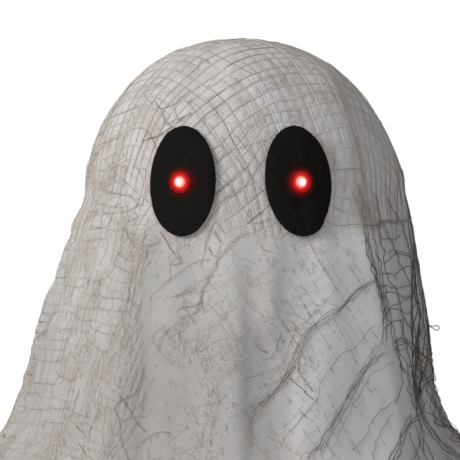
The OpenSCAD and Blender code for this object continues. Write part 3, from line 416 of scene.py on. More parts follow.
def clothPoints(turn, drop, lift=0.0):  # points and outward directions on the cloth's outer side
    drop = np.clip(drop, 0, dropSteps[-1])
    wide, deep, lean, share = [np.interp(drop, dropSteps, table) for table in tables]
    down = np.minimum(drop / ballR, math.pi / 2)
    height = np.where(drop < quarter, pivotZ + ballR * np.cos(down), pivotZ - (drop - quarter))
    across, depth = wide * np.cos(turn) - lean, deep * np.sin(turn)
    base = np.stack([across, depth, height], -1)
    out = np.stack([np.cos(turn) * np.maximum(deep, 1e-6), np.sin(turn) * np.maximum(wide, 1e-6)], -1)
    out /= np.linalg.norm(out, axis=-1)[..., None]
    outward = np.stack([np.sin(down) * out[..., 0], np.sin(down) * out[..., 1], np.cos(down)], -1)
    folded = form["foldCount"] * (turn + form["foldSway"] * np.sin(2 * turn))
    wave = form["foldDepth"] * share * np.cos(folded)
    front = easy(-np.sin(turn), *fades["faceTurn"]) * easy(height, *fades["faceFoot"])
    spread = (np.maximum(wide, 0.05) / 0.0925) ** 0.6
    face = 0
    for at, broad, high, end in faceFolds:
        past = (across + lean - at * spread) / (broad * spread)
        face = face + high * np.exp(-past ** 2) * easy(height, end, end + 0.02)
    face = face * easy(height, *fades["faceTop"])
    ridge = 0
    for pleat in pleats:
        past = across - np.interp(height, pleat["height"], pleat["across"])
        fall = np.exp(-(past / np.where(past < 0, pleat["left"], pleat["right"])) ** 2)
        top = pleat["height"][-1]
        ridge = ridge + pleat["high"] * fall * easy(height, top + 0.004, top - 0.014)
    ridge = ridge * easy(height, *fades["ridgeFoot"]) * easy(-np.sin(turn), *fades["ridgeTurn"])
    swell = np.interp(height, *np.array(form["sideSwell"]).T) * easy(np.cos(turn), *fades["swellTurn"])
    high, at, broad = form["crownSwell"]
    swell = swell + high * np.exp(-((drop - at) / broad) ** 2)
    around = np.stack([np.cos(turn), np.sin(turn), height * 1.2], -1)
    for count, deepFold, seed in form["skirtFolds"]:  # finer folds that open towards the hem
        crease = 0.5 + 0.5 * np.cos(count * turn + 2.6 * ripple(around, 0.9, seed))
        swell = swell + deepFold * crease ** 2 * easy(height, *fades["skirt"])
    seat = base * [1, 1, 0.35]
    fine = small(seat, "wrinkle") * easy(drop, *fades["wrinkle"]) + small(seat, "crumple")
    scallops = small(np.stack([height, across * 0.4], -1), "scallop")
    fine = fine + scallops * easy(-np.cos(turn), *fades["scallopTurn"]) * easy(drop, *fades["scallop"])
    flat = flatFromCloth(turn, drop)
    lines = np.sin(math.pi * (flat @ biasAcross) / gauze["cell"])
    puff = gauze["puff"] * np.prod(np.abs(lines), axis=-1) * easy(drop, *fades["puff"])
    puff = puff * easy(gone(base, flat), *fades["puffTorn"])
    relief = wave * (1 - front) + face * front + ridge + swell + fine + puff
    return base + outward * (relief + lift)[..., None], outward


def aroundTurns(front, back):  # closer columns on the face than behind
    return np.concatenate([-math.pi + math.pi * np.arange(front) / front, math.pi * np.arange(back) / back])


def rows(parts):  # drops with their own spacing in each stretch
    return np.concatenate([np.arange(start, stop, step) for start, stop, step in parts])


def gridFaces(rings, sides):
    ring, side = np.meshgrid(np.arange(rings - 1), np.arange(sides), indexing="ij")
    after = (side + 1) % sides
    return np.stack([ring * sides + side, (ring + 1) * sides + side,
                     (ring + 1) * sides + after, ring * sides + after], -1).reshape(-1, 4)


def meshPiece(name, points, faces, finish):
    mesh = bpy.data.meshes.new(name)
    mesh.from_pydata(points.tolist(), [], faces)
    mesh.materials.append(finish.material)
    mesh.shade_smooth()
    piece = bpy.data.objects.new(name, mesh)
    bpy.context.scene.collection.objects.link(piece)
    return piece


def flatMap(mesh, name, places):  # a UV map from one place per point
    corner = np.zeros(len(mesh.loops), np.int32)
    mesh.loops.foreach_get("vertex_index", corner)
    mesh.uv_layers.new(name=name).data.foreach_set("uv", places[corner].astype(np.float32).ravel())


def keepValues(mesh, name, values):  # one number per point
    mesh.attributes.new(name, "FLOAT", "POINT").data.foreach_set("value", values.astype(np.float32))


def cloakPiece(name, turns, dropGrid, lift, finish):  # a closed cloak from rows of drops, with its crown
    turnGrid = np.broadcast_to(turns, dropGrid.shape)
    grid, _ = clothPoints(turnGrid, dropGrid, np.full(dropGrid.shape, lift))
    crown, _ = clothPoints(np.zeros(1), np.zeros(1), np.full(1, lift))
    sides, top = len(turns), dropGrid.size
    faces = gridFaces(len(dropGrid), sides).tolist()
    faces += [[top, side, (side + 1) % sides] for side in range(sides)]
    return meshPiece(name, np.concatenate([grid.reshape(-1, 3), crown]), faces, finish), turnGrid, grid


def netLines(finish, where, step, jog):  # sines across the weave's two ways
    along, cross = finish.axis(where, "X"), finish.axis(where, "Y")
    return [((along * -way[1] + cross * way[0] + jog) * (math.pi / step)).sine() for way in biasWays.tolist()]


def pillows(finish, where):  # cloth that swells a little between the yarns
    first, second = netLines(finish, where, gauze["cell"], 0.0)
    torn = finish.kept("torn")
    slack = finish.noise(0.03, 2, where=where).within(0.35, 0.65) * 0.7 + 0.3
    return (first * first * second * second) ** 0.35 * (1 - torn) ** 3 * slack * gauze["pillow"]


def underGauze(piece, turnGrid, dropGrid, grid):  # the gauze's flat places and torn share, kept on a cloak
    flatGrid = flatFromCloth(turnGrid, dropGrid)
    flatMap(piece.data, "flat", np.append(flatGrid.reshape(-1, 2), [[0, 0]], axis=0))
    tornAt = easy(gone(grid, flatGrid), *fades["torn"])
    keepValues(piece.data, "torn", np.append(tornAt.ravel(), 0))


# the ribbed drape, closed at the crown, with ribs that run straight over it
drape = {
    "columns": (176, 104), "rows": [(0.004, 0.31, 0.0027), (0.31, fullDrop - 0.004, 0.0105)],
    "hemSway": 0.003, "rib": 0.00105, "thread": 0.0016, "soil": 0.35,
    "tones": [(0, (0.775, 0.775, 0.80)), (0.35, (0.70, 0.69, 0.695)),
              (0.7, (0.575, 0.56, 0.55)), (1, (0.455, 0.44, 0.43))],
    "stain": (0.92, 0.905, 0.895), "furrow": (0.42, 0.41, 0.40), "slub": (0.60, 0.56, 0.50),
    "blush": (0.70, 0.44, 0.42),
}

clothFinish = Finish("ribbedCloth", Roughness=0.92)
clothFinish.set({"Sheen Weight": 0.15, "Sheen Roughness": 0.5, "Specular IOR Level": 0.15})
weave = clothFinish.map("weave")
slub = clothFinish.noise(0.006, 2)
ribs = ((clothFinish.axis(weave, "Y") + slub * 0.0006) * (2 * math.pi / drape["rib"])).sine()
threads = ((clothFinish.axis(weave, "X") + slub * 0.0008) * (2 * math.pi / drape["thread"])).sine()
stain = clothFinish.noise(0.055, 4)
# the cloth's tone follows the kept painted shading: painted shade lower down and under the eyes, painted light on
# the lit pleat
tinted = clothFinish.ramp(clothFinish.kept("soil"), drape["tones"])
tinted = clothFinish.mix(stain.within(0.42, 0.68), tinted, drape["stain"], "MULTIPLY")
furrow = (ribs * 0.5 + 0.5) * 0.75 + (threads * 0.5 + 0.5) * 0.25
# the furrows between the ribs are painted darker: painted shade in the grooves
tinted = clothFinish.mix((1 - furrow) * 0.34, tinted, drape["furrow"])
# painted red light from the lamps, mixed into the cloth beside the eyes
tinted = clothFinish.mix(clothFinish.kept("blush"), tinted, drape["blush"])
clothFinish.set({"Base Color": clothFinish.mix(slub.within(0.55, 0.8) * 0.3, tinted, drape["slub"])})
clothFinish.set({"Roughness": 0.86 + slub * 0.1})
swells = pillows(clothFinish, clothFinish.map("flat"))
clothFinish.bump(furrow * 0.16 + slub * 0.14 + swells, 0.001)


def paintedShadingAt(points):  # painted shade and light on the cloth: greyer lower down, most where no gauze lies and under the eyes, paler across the forehead and in one hollow, and painted light on the lit pleat at the right
    across, height, front = points[..., 0], points[..., 2], points[..., 1] < 0.02
    # painted shade: darker lower down, where less light reaches
    low = easy(height, 0.86, 0.75)
    middle = inZone("middle", points) * front
    hollow = inZone("hollow", points) * front
    past = across - np.interp(height, pleats[0]["height"], pleats[0]["across"])
    # painted light: the lit pleat at the right of the face is kept pale
    litPleat = 0.85 * easy(across, 0.024, 0.042) * easy(past, 0.003, -0.002) * easy(height, 0.85, 0.83)
    litPleat = litPleat * easy(height, 0.64, 0.72) * front * (1 - 0.4 * easy(height, 0.765, 0.725))
    paleBand = 0.14 * np.exp(-((height - 0.880) / 0.016) ** 2) * front
    # painted shade under the eyes
    underEyeShade = (0.08 + 0.16 * inZone("cheek", points)) * middle * easy(height, 0.838, 0.818)
    return (drape["soil"] - paleBand + low * (0.35 + 0.26 * middle) + underEyeShade - 0.24 * hollow) * (1 - litPleat)


drops = np.append(rows(drape["rows"]), fullDrop)
turns = aroundTurns(*drape["columns"])
hem = drape["hemSway"] * ripple(np.stack([np.cos(turns), np.sin(turns)], -1), 0.7, 5)
dropGrid = np.minimum(drops[:, None] + hem * easy(drops, fullDrop - 0.05, fullDrop)[:, None], fullDrop)
drapeCloth, turnGrid, drapeGrid = cloakPiece("drapeCloth", turns, dropGrid, 0.0, clothFinish)
weaveGrid = dropGrid[..., None] * np.stack([np.cos(turnGrid), np.sin(turnGrid)], -1)
flatMap(drapeCloth.data, "weave", np.append(weaveGrid.reshape(-1, 2), [[0, 0]], axis=0))
underGauze(drapeCloth, turnGrid, dropGrid, drapeGrid)
# the painted shade and light, kept at each point of the drape
keepValues(drapeCloth.data, "soil", np.append(paintedShadingAt(drapeGrid).ravel(), drape["soil"]))
halfWide, halfTall = 0.0139, 0.0237  # of a felt eye
eyeBoxes = [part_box("eye_patch_" + side) for side in ("left", "right")]
eyes = [((low.x + high.x) / 2, (low.z + high.z) / 2) for low, high in eyeBoxes]
across, depth, height = np.moveaxis(drapeGrid, -1, 0)
nearEye = np.min([np.hypot((across - x) / halfWide, (height - z) / halfTall) for x, z in eyes], axis=0)
outer = np.max([(across - x) / halfWide * np.sign(x) for x, _ in eyes], axis=0)
blush = 0.22 * easy(nearEye, 1.5, 1.0) * easy(outer, 0.2, 0.9) * (depth < 0)
keepValues(drapeCloth.data, "blush", np.append(blush.ravel(), 0))  # painted red light from the lamps on the cloth beside the eyes
applyModifier(drapeCloth, "SOLIDIFY", thickness=form["thick"], offset=-1)
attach(drapeCloth, ghost)
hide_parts("drape")
print("drape made:", len(drapeCloth.data.polygons), "faces")

# the gauze: a fine torn veil with the heavier yarns on it, laid askew with the crown as its middle
def tattered(turn):  # how far above the drape's hem the gauze ends
    return gauze["tatter"] * (0.55 + 0.3 * np.cos(5 * turn + 0.7) + 0.15 * np.cos(11 * turn))


def shadeAt(points, base):  # painted shade: darker at the right of the face, where the head turns from the light; fainter on the right of the forehead
    dark = inZone("dark", points) * (points[..., 1] < 0.03)
    faint = inZone("faint", points)
    return np.clip((base + (0.97 - base) * 0.6 * faint) * (1 - 0.8 * dark), 0, 1)


veil = {
    "columns": (132, 80), "rows": [(0.004, 0.31, 0.0034), (0.31, fullDrop - 0.006, 0.012)],
    "lift": 0.00035, "thread": gauze["cell"] / 3, "haze": 0.30, "rag": 0.006,
    "colour": (0.71, 0.66, 0.60), "dust": (0.56, 0.49, 0.42),
}
veilFinish = Finish("gauzeVeil", Roughness=0.95)
veilFinish.set({"Specular IOR Level": 0.1, "Sheen Weight": 0.1, "Sheen Roughness": 0.6})
flatPlace = veilFinish.map("flat")
jog = veilFinish.noise(0.009, 2, where=flatPlace)
lines = [line.within(0.84, 0.99) for line in netLines(veilFinish, flatPlace, veil["thread"] / 2, jog * 0.003)]
breaks = [veilFinish.noise(size, 1, where=flatPlace).within(0.42, 0.60) for size in (0.013, 0.017)]
clouds = veilFinish.noise(0.02, 4, where=flatPlace)
torn = veilFinish.kept("torn")
cover = (lines[0] * breaks[0] + lines[1] * breaks[1]) * 0.26 + clouds.within(0.40, 0.68) * veil["haze"]
veilFinish.set({"Base Color": veilFinish.mix(clouds.within(0.35, 0.65), veil["colour"], veil["dust"]),
                "Alpha": cover * (1 - torn), "Roughness": 0.9 + jog * 0.08})
veilFinish.bump((lines[0] + lines[1]) * 0.1 + pillows(veilFinish, flatPlace), 0.001)

share = np.append(rows(veil["rows"]), fullDrop) / fullDrop
turns = aroundTurns(*veil["columns"])
rag = veil["rag"] * (1 + ripple(np.stack([np.cos(turns), np.sin(turns)], -1), 0.12, 6))
dropGrid = share[:, None] * (fullDrop - tattered(turns) - rag)
gauzeVeil, turnGrid, veilGrid = cloakPiece("gauzeVeil", turns, dropGrid, veil["lift"], veilFinish)
underGauze(gauzeVeil, turnGrid, dropGrid, veilGrid)
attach(gauzeVeil, ghost)
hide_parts("gauze")
print("veil made:", len(gauzeVeil.data.polygons), "faces")

gauzeFinish = Finish("gauzeYarn", Roughness=0.95)
gauzeFinish.set({"Sheen Weight": 0.1, "Sheen Roughness": 0.6, "Specular IOR Level": 0.1})
fibre = gauzeFinish.noise(0.0009, 2)
yarnTint = gauzeFinish.ramp(gauzeFinish.kept("tone"), gauze["tones"])
gauzeFinish.set({"Base Color": gauzeFinish.mix(fibre.within(0.45, 0.8) * 0.2, yarnTint, (0.60, 0.55, 0.48)),
                 "Roughness": 0.88 + fibre * 0.1})
gauzeFinish.bump(fibre, 0.00015, 0.6)


def yarnPiece(name, runs, sides):  # each run is points, outward directions, radius, tone
    points, faces, tones, base = [], [], [], 0
    angle = 2 * math.pi * np.arange(sides) / sides
    for path, outward, radius, shade in runs:
        along = np.gradient(path, axis=0)
        along /= np.maximum(np.linalg.norm(along, axis=1), 1e-9)[:, None]
        side = np.cross(along, outward)
        side /= np.maximum(np.linalg.norm(side, axis=1), 1e-9)[:, None]
        up = np.cross(side, along)
        thick = np.broadcast_to(radius, len(path))[:, None, None]
        ring = path[:, None, :] + thick * (np.cos(angle)[None, :, None] * side[:, None, :]
                                           + np.sin(angle)[None, :, None] * up[:, None, :])
        points.append(ring.reshape(-1, 3))
        tones.append(np.repeat(np.broadcast_to(shade, len(path)), sides))
        tube = gridFaces(len(path), sides) + base
        faces += tube.tolist()
        last = base + (len(path) - 1) * sides
        faces += [list(range(base, base + sides)), list(range(last + sides - 1, last - 1, -1))]
        base += len(path) * sides
    piece = meshPiece(name, np.concatenate(points), faces, gauzeFinish)
    keepValues(piece.data, "tone", np.concatenate(tones))
    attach(piece, ghost)
    return piece


def splitRuns(keep, least):
    edges = np.flatnonzero(np.diff(np.concatenate([[0], keep.astype(int), [0]])))
    return [(a, b) for a, b in zip(edges[::2], edges[1::2]) if b - a >= least]


yarns = {"thick": 0.00017, "step": 0.0025, "least": 11, "low": 0.34, "jitter": 0.12, "double": 0.0011,
         "lift": 0.00025}
rng = np.random.default_rng(gauze["seed"])
farthest = gauze["even"] + (fullDrop - gauze["even"]) * gauze["gather"]
weaveRuns = []
for family, way in enumerate(biasWays):
    across = biasAcross[:, family]
    count = int(farthest / gauze["cell"])
    for number in range(-count, count + 1):
        offset = (number + rng.uniform(-1, 1) * yarns["jitter"]) * gauze["cell"]
        half = math.sqrt(max(farthest ** 2 - offset ** 2, 0))
        shade = rng.choice([0.99, 0.90, 0.76], p=[0.40, 0.40, 0.20]) + rng.uniform(-0.05, 0.05)
        for ply in range(2):
            place = np.arange(-half, half, yarns["step"])
            if len(place) < 8:
                continue
            flat = (offset + ply * yarns["double"]) * across + place[:, None] * way
            seed = number * 4 + family * 2 + ply
            own = np.stack([ripple(flat, 0.03, 1000 + seed), ripple(flat, 0.03, 3000 + seed)], -1)
            slack = 0.0004 + 0.0006 * easy(np.linalg.norm(flat, axis=1), 0.05, 0.2)
            turn, drop = clothFromFlat(flat + own * slack[:, None])
            points, outward = clothPoints(turn, drop, yarns["lift"] + 0.0002 * ((number + family) % 2))
            x, y, z = points.T
            keep = drop < fullDrop - tattered(turn) - rng.uniform(0, 0.03)
            keep &= gone(points, flat) < rng.uniform(-0.60, 0.05)
            inNet = (x > 0.062) & (y < rng.uniform(0.0, 0.03)) & (z < rng.uniform(0.818, 0.848))
            inNet &= z > rng.uniform(0.70, 0.755)
            onShoulder = (x < -0.034) & (y < -0.004) & (z < rng.uniform(0.800, 0.842)) & (z > 0.71)
            keep &= ~inNet & ~onShoulder  # both have nets of their own
            if number % 3:
                keep &= drop < yarns["low"] + rng.uniform(-0.05, 0.05)
            if ply:
                keep &= (drop < 0.30) & (ripple(flat, 0.03, 70 + family) > 0.5)
            depth = shade - 0.34 * easy(ripple(flat, 0.035, 5000 + number * 2 + family), 0.35, 0.9)
            for a, b in splitRuns(keep, yarns["least"]):
                pick = np.arange(a, b)
                pick = pick[(drop[a:b] < yarns["low"]) | (pick % 3 == 0)]
                if len(pick) < 4:
                    continue
                ends = np.minimum(pick - a, b - 1 - pick)  # frayed thin at both ends
                thick = yarns["thick"] * rng.uniform(0.75, 1.25) * (0.8 if ply else 1)
                thick = thick * (0.35 + 0.65 * easy(ends, 0, 5))
                pale = depth[pick] + (1 - depth[pick]) * 0.7 * (1 - easy(ends, 0, 8))
                weaveRuns.append((points[pick], outward[pick], thick, shadeAt(points[pick], pale)))
front = [run for run in weaveRuns if run[0][:, 1].mean() < 0]
back = [run for run in weaveRuns if run[0][:, 1].mean() >= 0]
gauzeFront = yarnPiece("gauzeFront", front, 4)
gauzeBack = yarnPiece("gauzeBack", back, 3)
print("yarns made:", len(gauzeFront.data.polygons), "and", len(gauzeBack.data.polygons), "faces")


def dropAt(height):  # drop from the crown to a height
    down = np.arccos(np.clip((height - pivotZ) / ballR, 0, 1))
    return np.where(height > pivotZ, ballR * down, collarDrop - height)


def frontTurn(across, drop, most):  # turn of a place on the front
    wide, lean = [np.interp(drop, dropSteps, table) for table in (wideTable, leanTable)]
    return -np.arccos(np.clip((across + lean) / np.maximum(wide, 1e-4), -most, most))


def onFront(pixels):  # turn and drop of places in the picture, on the front of the cloth
    pixels = np.asarray(pixels, float)
    depth, slip = np.full(len(pixels), -picture["face"]), np.zeros((len(pixels), 2))
    for _ in range(4):
        near = (1 + depth / picture["away"]) / picture["perMetre"]
        seen = np.array(aim) + (pixels - picture["side"] / 2) * [1, -1] * near[:, None]
        across, height = (seen + slip).T
        drop = dropAt(height)
        turn = frontTurn(across, drop, 0.999)
        points, _ = clothPoints(turn, drop, 0.0005)
        depth = points[:, 1]
        slip = np.clip(slip + seen - points[:, [0, 2]], -0.012, 0.012)
    return turn, drop


def route(pixels, count, ease=0.2):  # even steps along a bent line, with its corners eased
    pixels = np.array(pixels, float)
    reach = np.concatenate([[0], np.cumsum(np.linalg.norm(np.diff(pixels, axis=0), axis=1))])
    at = np.linspace(0, reach[-1], count)
    line = np.stack([np.interp(at, reach, pixels[:, axis]) for axis in (0, 1)], -1)
    for _ in range(int(count * ease)):
        line[1:-1] = (line[:-2] + line[1:-1] * 2 + line[2:]) / 4
    return line


def seatOf(values, offset):  # places for ripple along one strand, apart from those of the others
    return np.stack([values, np.full(len(values), offset)], -1)


strandRuns = []


def hang(turn, drop, lift, thick, shade):  # one strand along places on the cloth
    points, outward = clothPoints(turn, drop, lift)
    strandRuns.append((points, outward, thick, np.clip(shade, 0, 1)))


def lay(line, thick, shade, lift=0.0006):  # one strand along picture places
    hang(*onFront(line), lift, thick, shade)


# picture pixels of two lines down the left shoulder that bands and bundles share
leftEdge = [(79, 208), (70, 236), (66, 262), (66, 284), (58, 302), (49, 323), (39, 345), (34, 362),
            (29, 392), (22, 412)]
leftFold = [(121, 190), (124, 227), (122, 243), (116, 262), (101, 280), (94, 308), (87, 340), (77, 371),
            (72, 392), (62, 420)]
bundles = [  # picture pixels, strands, gap in pixels, thickness, tone
    ([(380, 280), (370, 284), (361, 288), (353, 295), (343, 307), (335, 313), (325, 320), (315, 327),
      (307, 333), (302, 343), (298, 353), (293, 365), (288, 373), (280, 387), (270, 397), (260, 407),
      (252, 418), (249, 428), (250, 445), (248, 462)], 4, 1.6, 0.00010, 0.34),
    ([(383, 338), (379, 345), (371, 358), (359, 377), (352, 387), (342, 407), (332, 423), (322, 438),
      (312, 453), (306, 462)], 3, 1.8, 0.00010, 0.30),
    ([(391, 354), (383, 354), (377, 358), (371, 364), (364, 373), (355, 389), (347, 404), (335, 424),
      (325, 444), (317, 462)], 3, 1.8, 0.00009, 0.36),
    ([(399, 363), (390, 363), (381, 368), (371, 374), (362, 391), (351, 410), (343, 427), (334, 446),
      (326, 462)], 1, 1.0, 0.00010, 0.34),
    ([(381, 320), (370, 330), (358, 345), (347, 352), (335, 362), (327, 372), (322, 383), (318, 397),
      (312, 405), (305, 415), (298, 422), (285, 433)], 1, 1.0, 0.00012, 0.28),
    ([(399, 397), (390, 404), (376, 415), (370, 426), (366, 438), (357, 446), (348, 455)],
     1, 1.0, 0.00010, 0.36),
    ([(394, 412), (386, 424), (378, 438), (373, 452), (373, 462)], 1, 1.0, 0.00010, 0.32),
    ([(248, 230), (237, 237), (227, 248), (218, 258), (212, 272), (203, 287), (200, 302), (192, 318)],
     3, 1.4, 0.00008, 0.62),
    ([(99, 140), (86, 171)] + leftEdge + [(10, 440)], 7, 1.5, 0.00011, 0.90),
    ([(122, 128), (119, 151), (114, 168), (107, 182), (98, 200), (90, 220), (84, 240), (78, 266), (70, 290),
      (62, 312)], 5, 1.5, 0.00010, 0.90),
    ([(127, 150)] + leftFold + [(54, 462)], 6, 1.7, 0.00010, 0.90),
    ([(134, 262), (128, 300), (112, 335), (101, 360), (97, 380), (96, 399), (100, 417), (106, 429),
      (120, 441)], 5, 1.6, 0.00010, 0.88),
    ([(212, 312), (206, 330), (199, 346), (208, 372), (213, 400), (206, 430), (200, 462)],
     6, 2.0, 0.00009, 0.88),
    ([(182, 314), (180, 330), (182, 346), (190, 366)], 4, 1.6, 0.00010, 0.92)]
steps = 84
share = np.linspace(0, 1, steps)
for number, (pixels, strands, gap, thick, shade) in enumerate(bundles):
    line = route(pixels, steps, 0.06)
    ahead = np.gradient(line, axis=0)
    aside = np.stack([-ahead[:, 1], ahead[:, 0]], -1) / np.linalg.norm(ahead, axis=1)[:, None]
    broken = shade > 0.8  # the paler bands are broken into shorter lengths
    for strand in range(strands):
        seat = seatOf(share * 3, strand * 1.7 + number)
        pinch = 1.0 + 0.3 * ripple(seat * [1, 0] + [0, number], 1.4, 61)
        spread = gap * (strand - (strands - 1) / 2) * pinch
        swayed = line + aside * (spread + ripple(seat * [4 if broken else 1, 1], 0.5, 62))[:, None]
        parts = [(int(rng.uniform(0, 6)), int(rng.uniform(76, steps)))]
        if broken:
            parts = [(first, first + int(rng.uniform(4, 12))) for first in rng.integers(0, 76, 7)]
        for start, stop in parts:
            paler = 0.4 * easy(swayed[start:stop, 1], 385, 430) if number == 0 else 0
            lay(swayed[start:stop], thick * rng.uniform(0.8, 1.2),
                shade + rng.uniform(-0.15, 0.1) + paler, 0.0005 + 0.0001 * (strand % 3))

shoulderNet = {  # bands down the left shoulder in picture pixels, with the yarns between them
    "bands": [
        [(92, 150), (84, 175), (80, 200), (66, 230), (60, 260), (50, 285), (40, 315), (30, 350), (25, 375),
         (18, 405), (10, 425), (0, 455)],
        [(99, 150), (86, 175)] + leftEdge + [(8, 452)],
        [(114, 160), (107, 182), (98, 200), (92, 220), (88, 240), (86, 262), (82, 290), (75, 316),
         (66, 345), (58, 372), (50, 400), (42, 425), (32, 465)],
        [(126, 160)] + leftFold + [(54, 465)],
        [(140, 190), (137, 220), (134, 262), (128, 300), (116, 330), (106, 355), (99, 380), (92, 404),
         (86, 430), (80, 465)],
        [(152, 215), (148, 245), (143, 280), (141, 310), (138, 335), (130, 365), (121, 392), (117, 415),
         (116, 440), (112, 465)]],
    "fall": [1, 3, 4, 7, 11], "foot": 456, "gap": 11.5, "sag": 2.2, "yarn": 0.000105, "tone": 0.66}
bands = [route(band, 90, 0.05) for band in shoulderNet["bands"]]
for number, (first, second) in enumerate(zip(bands[:-1], bands[1:])):
    top = max(first[0, 1], second[0, 1])
    y = top + rng.uniform(0, 8)
    while y < shoulderNet["foot"]:
        fall = shoulderNet["fall"][number] + rng.normal(0, 2)
        share = np.linspace(-0.04, 1.04, 10)
        x0 = np.interp(y, first[:, 1], first[:, 0])
        x1 = np.interp(y + fall, second[:, 1], second[:, 0])
        sag = shoulderNet["sag"] * rng.uniform(0.3, 1.6) * 4 * share * (1 - share)
        sway = 0.8 * ripple(seatOf(share * 2, y * 0.1 + number), 0.6, 66)
        line = np.stack([x0 + (x1 - x0) * share, y + fall * share + sag + sway], -1)
        if rng.uniform() < 0.85:
            lay(line, shoulderNet["yarn"] * rng.uniform(0.8, 1.3),
                shoulderNet["tone"] + rng.uniform(-0.14, 0.2), 0.0005)
        y += shoulderNet["gap"] * rng.uniform(0.65, 1.3)
    for share in (0.0, 0.3, 0.55, 0.8):  # and the finer yarns down between them
        heights = np.arange(top, 465, 3.5)
        x0, x1 = [np.interp(heights, band[:, 1], band[:, 0]) for band in (first, second)]
        sway = 1.7 * ripple(seatOf(heights / 30, share * 7 + number), 0.8, 67)
        line = np.stack([x0 * (1 - share) + x1 * share + sway, heights], -1)
        for start in rng.integers(0, max(len(heights) - 8, 1), 7 if share else 10):
            lay(line[start:start + int(rng.uniform(5, 15))], shoulderNet["yarn"] * rng.uniform(0.65, 1.1),
                shoulderNet["tone"] + rng.uniform(-0.06, 0.36), 0.0004)

net = {  # the heavier net at the right of the head, in picture pixels
    "columns": [
        [(356, 196), (360, 214), (364, 232), (368, 254), (372, 268), (377, 284), (381, 302), (384, 324)],
        [(360, 186), (364, 204), (367, 226), (371, 250), (375, 268), (380, 286), (385, 304), (387, 326),
         (386, 342)],
        [(358, 190), (362, 206), (364, 223), (367, 240), (370, 259), (374, 270), (378, 282), (382, 297),
         (384, 308), (383, 320), (384, 331), (382, 340)],
        [(357, 180), (361, 198), (366, 224), (369, 246), (373, 262), (378, 282), (383, 300), (385, 318)],
        [(364, 198), (369, 219), (372, 229), (374, 243), (377, 257), (378, 268), (381, 284), (386, 301),
         (389, 320), (391, 334), (394, 350), (402, 367), (406, 374), (407, 384), (409, 396), (411, 407),
         (413, 417)],
        [(368, 204), (373, 226), (376, 244), (379, 262), (383, 280), (388, 304), (391, 322), (394, 330),
         (396, 342), (398, 350), (403, 358), (406, 370), (406, 382), (408, 394), (411, 405), (414, 416)],
        [(376, 196), (380, 216), (379, 239), (384, 252), (384, 266), (388, 277), (394, 288), (397, 296),
         (400, 308), (403, 322), (402, 331), (405, 341), (407, 353), (411, 367), (412, 376), (416, 386),
         (418, 397), (417, 409)],
        [(384, 222), (388, 234), (393, 246), (397, 256), (401, 267), (407, 277), (412, 286)],
        [(387, 198), (393, 210), (401, 222), (406, 238), (410, 252), (412, 266), (416, 284), (417, 297),
         (419, 307), (420, 322), (417, 336), (417, 347), (421, 355), (425, 364), (426, 373), (424, 383),
         (422, 393)],
        [(394, 196), (394, 203), (400, 211), (404, 219)], [(403, 318), (411, 328), (413, 339)],
        [(398, 320), (401, 331), (396, 348), (401, 362), (405, 372)]],
    "rungs": [
        [(365, 225), (377, 225), (384, 220), (395, 221), (407, 220), (411, 219)],
        [(375, 228), (384, 223), (392, 223), (400, 224), (409, 222)],
        [(380, 240), (387, 238), (394, 240), (400, 235)], [(385, 252), (393, 250), (402, 252), (411, 255)],
        [(384, 264), (388, 259), (395, 254), (402, 254), (411, 257)],
        [(395, 275), (400, 269), (405, 266), (412, 266)], [(379, 274), (387, 273), (394, 276), (397, 279)],
        [(378, 288), (385, 285), (394, 289), (402, 286), (414, 285)],
        [(383, 294), (389, 291), (395, 293), (402, 298), (411, 295), (417, 294), (421, 294)],
        [(388, 311), (393, 305), (402, 301), (412, 297), (417, 297)],
        [(399, 310), (407, 315), (411, 310), (417, 301), (422, 305)],
        [(384, 319), (388, 311), (393, 308), (399, 311)], [(384, 329), (392, 321), (402, 320)],
        [(394, 343), (398, 339), (404, 338), (411, 343), (418, 351), (421, 355)],
        [(395, 346), (399, 341), (405, 341), (411, 348), (417, 355)],
        [(394, 350), (400, 344), (406, 343), (413, 350)],
        [(407, 367), (411, 364), (418, 369), (420, 373), (417, 380), (415, 384)],
        [(418, 383), (423, 380), (425, 375)], [(413, 337), (416, 336), (420, 330)],
        [(399, 364), (401, 374), (402, 384), (398, 396), (396, 404)],
        [(409, 388), (413, 384), (419, 388), (420, 396)], [(410, 394), (414, 390), (418, 393)],
        [(411, 398), (415, 395), (417, 402)]],
    "fan": [
        [(411, 414), (404, 424), (401, 432), (398, 442), (393, 452), (388, 462)],
        [(414, 419), (408, 428), (404, 438), (402, 447), (396, 462)],
        [(413, 417), (406, 427), (402, 436), (399, 448), (391, 462)],
        [(409, 432), (411, 441), (415, 451), (420, 462)],
        [(418, 418), (421, 427), (420, 438), (417, 449), (412, 462)],
        [(419, 414), (425, 425), (434, 438), (443, 449), (450, 454)],
        [(421, 412), (429, 425), (438, 438), (446, 448)], [(422, 438), (427, 445), (431, 454), (434, 462)],
        [(413, 424), (417, 440), (424, 452)], [(419, 420), (424, 436), (422, 450), (428, 462)]],
    "split": 262, "thick": 0.00017, "tone": 0.09}


def drawn(lines, thick, shade, lift=0.0006, sway=0.5, paler=0.0):  # along traced lines, paler higher up
    for number, pixels in enumerate(lines):
        reach = np.linalg.norm(np.diff(np.array(pixels, float), axis=0), axis=1).sum()
        line = route(pixels, max(6, int(reach / 2.4)), 0.07)
        seat = seatOf(np.linspace(0, reach / 14, len(line)), number * 1.9)
        line = line + np.stack([ripple(seat, 1.0, 63), ripple(seat, 1.0, 65)], -1) * sway
        lay(line, thick * rng.uniform(0.8, 1.2),
            shade + rng.uniform(-0.06, 0.10) + paler * easy(line[:, 1], 268, 205), lift)


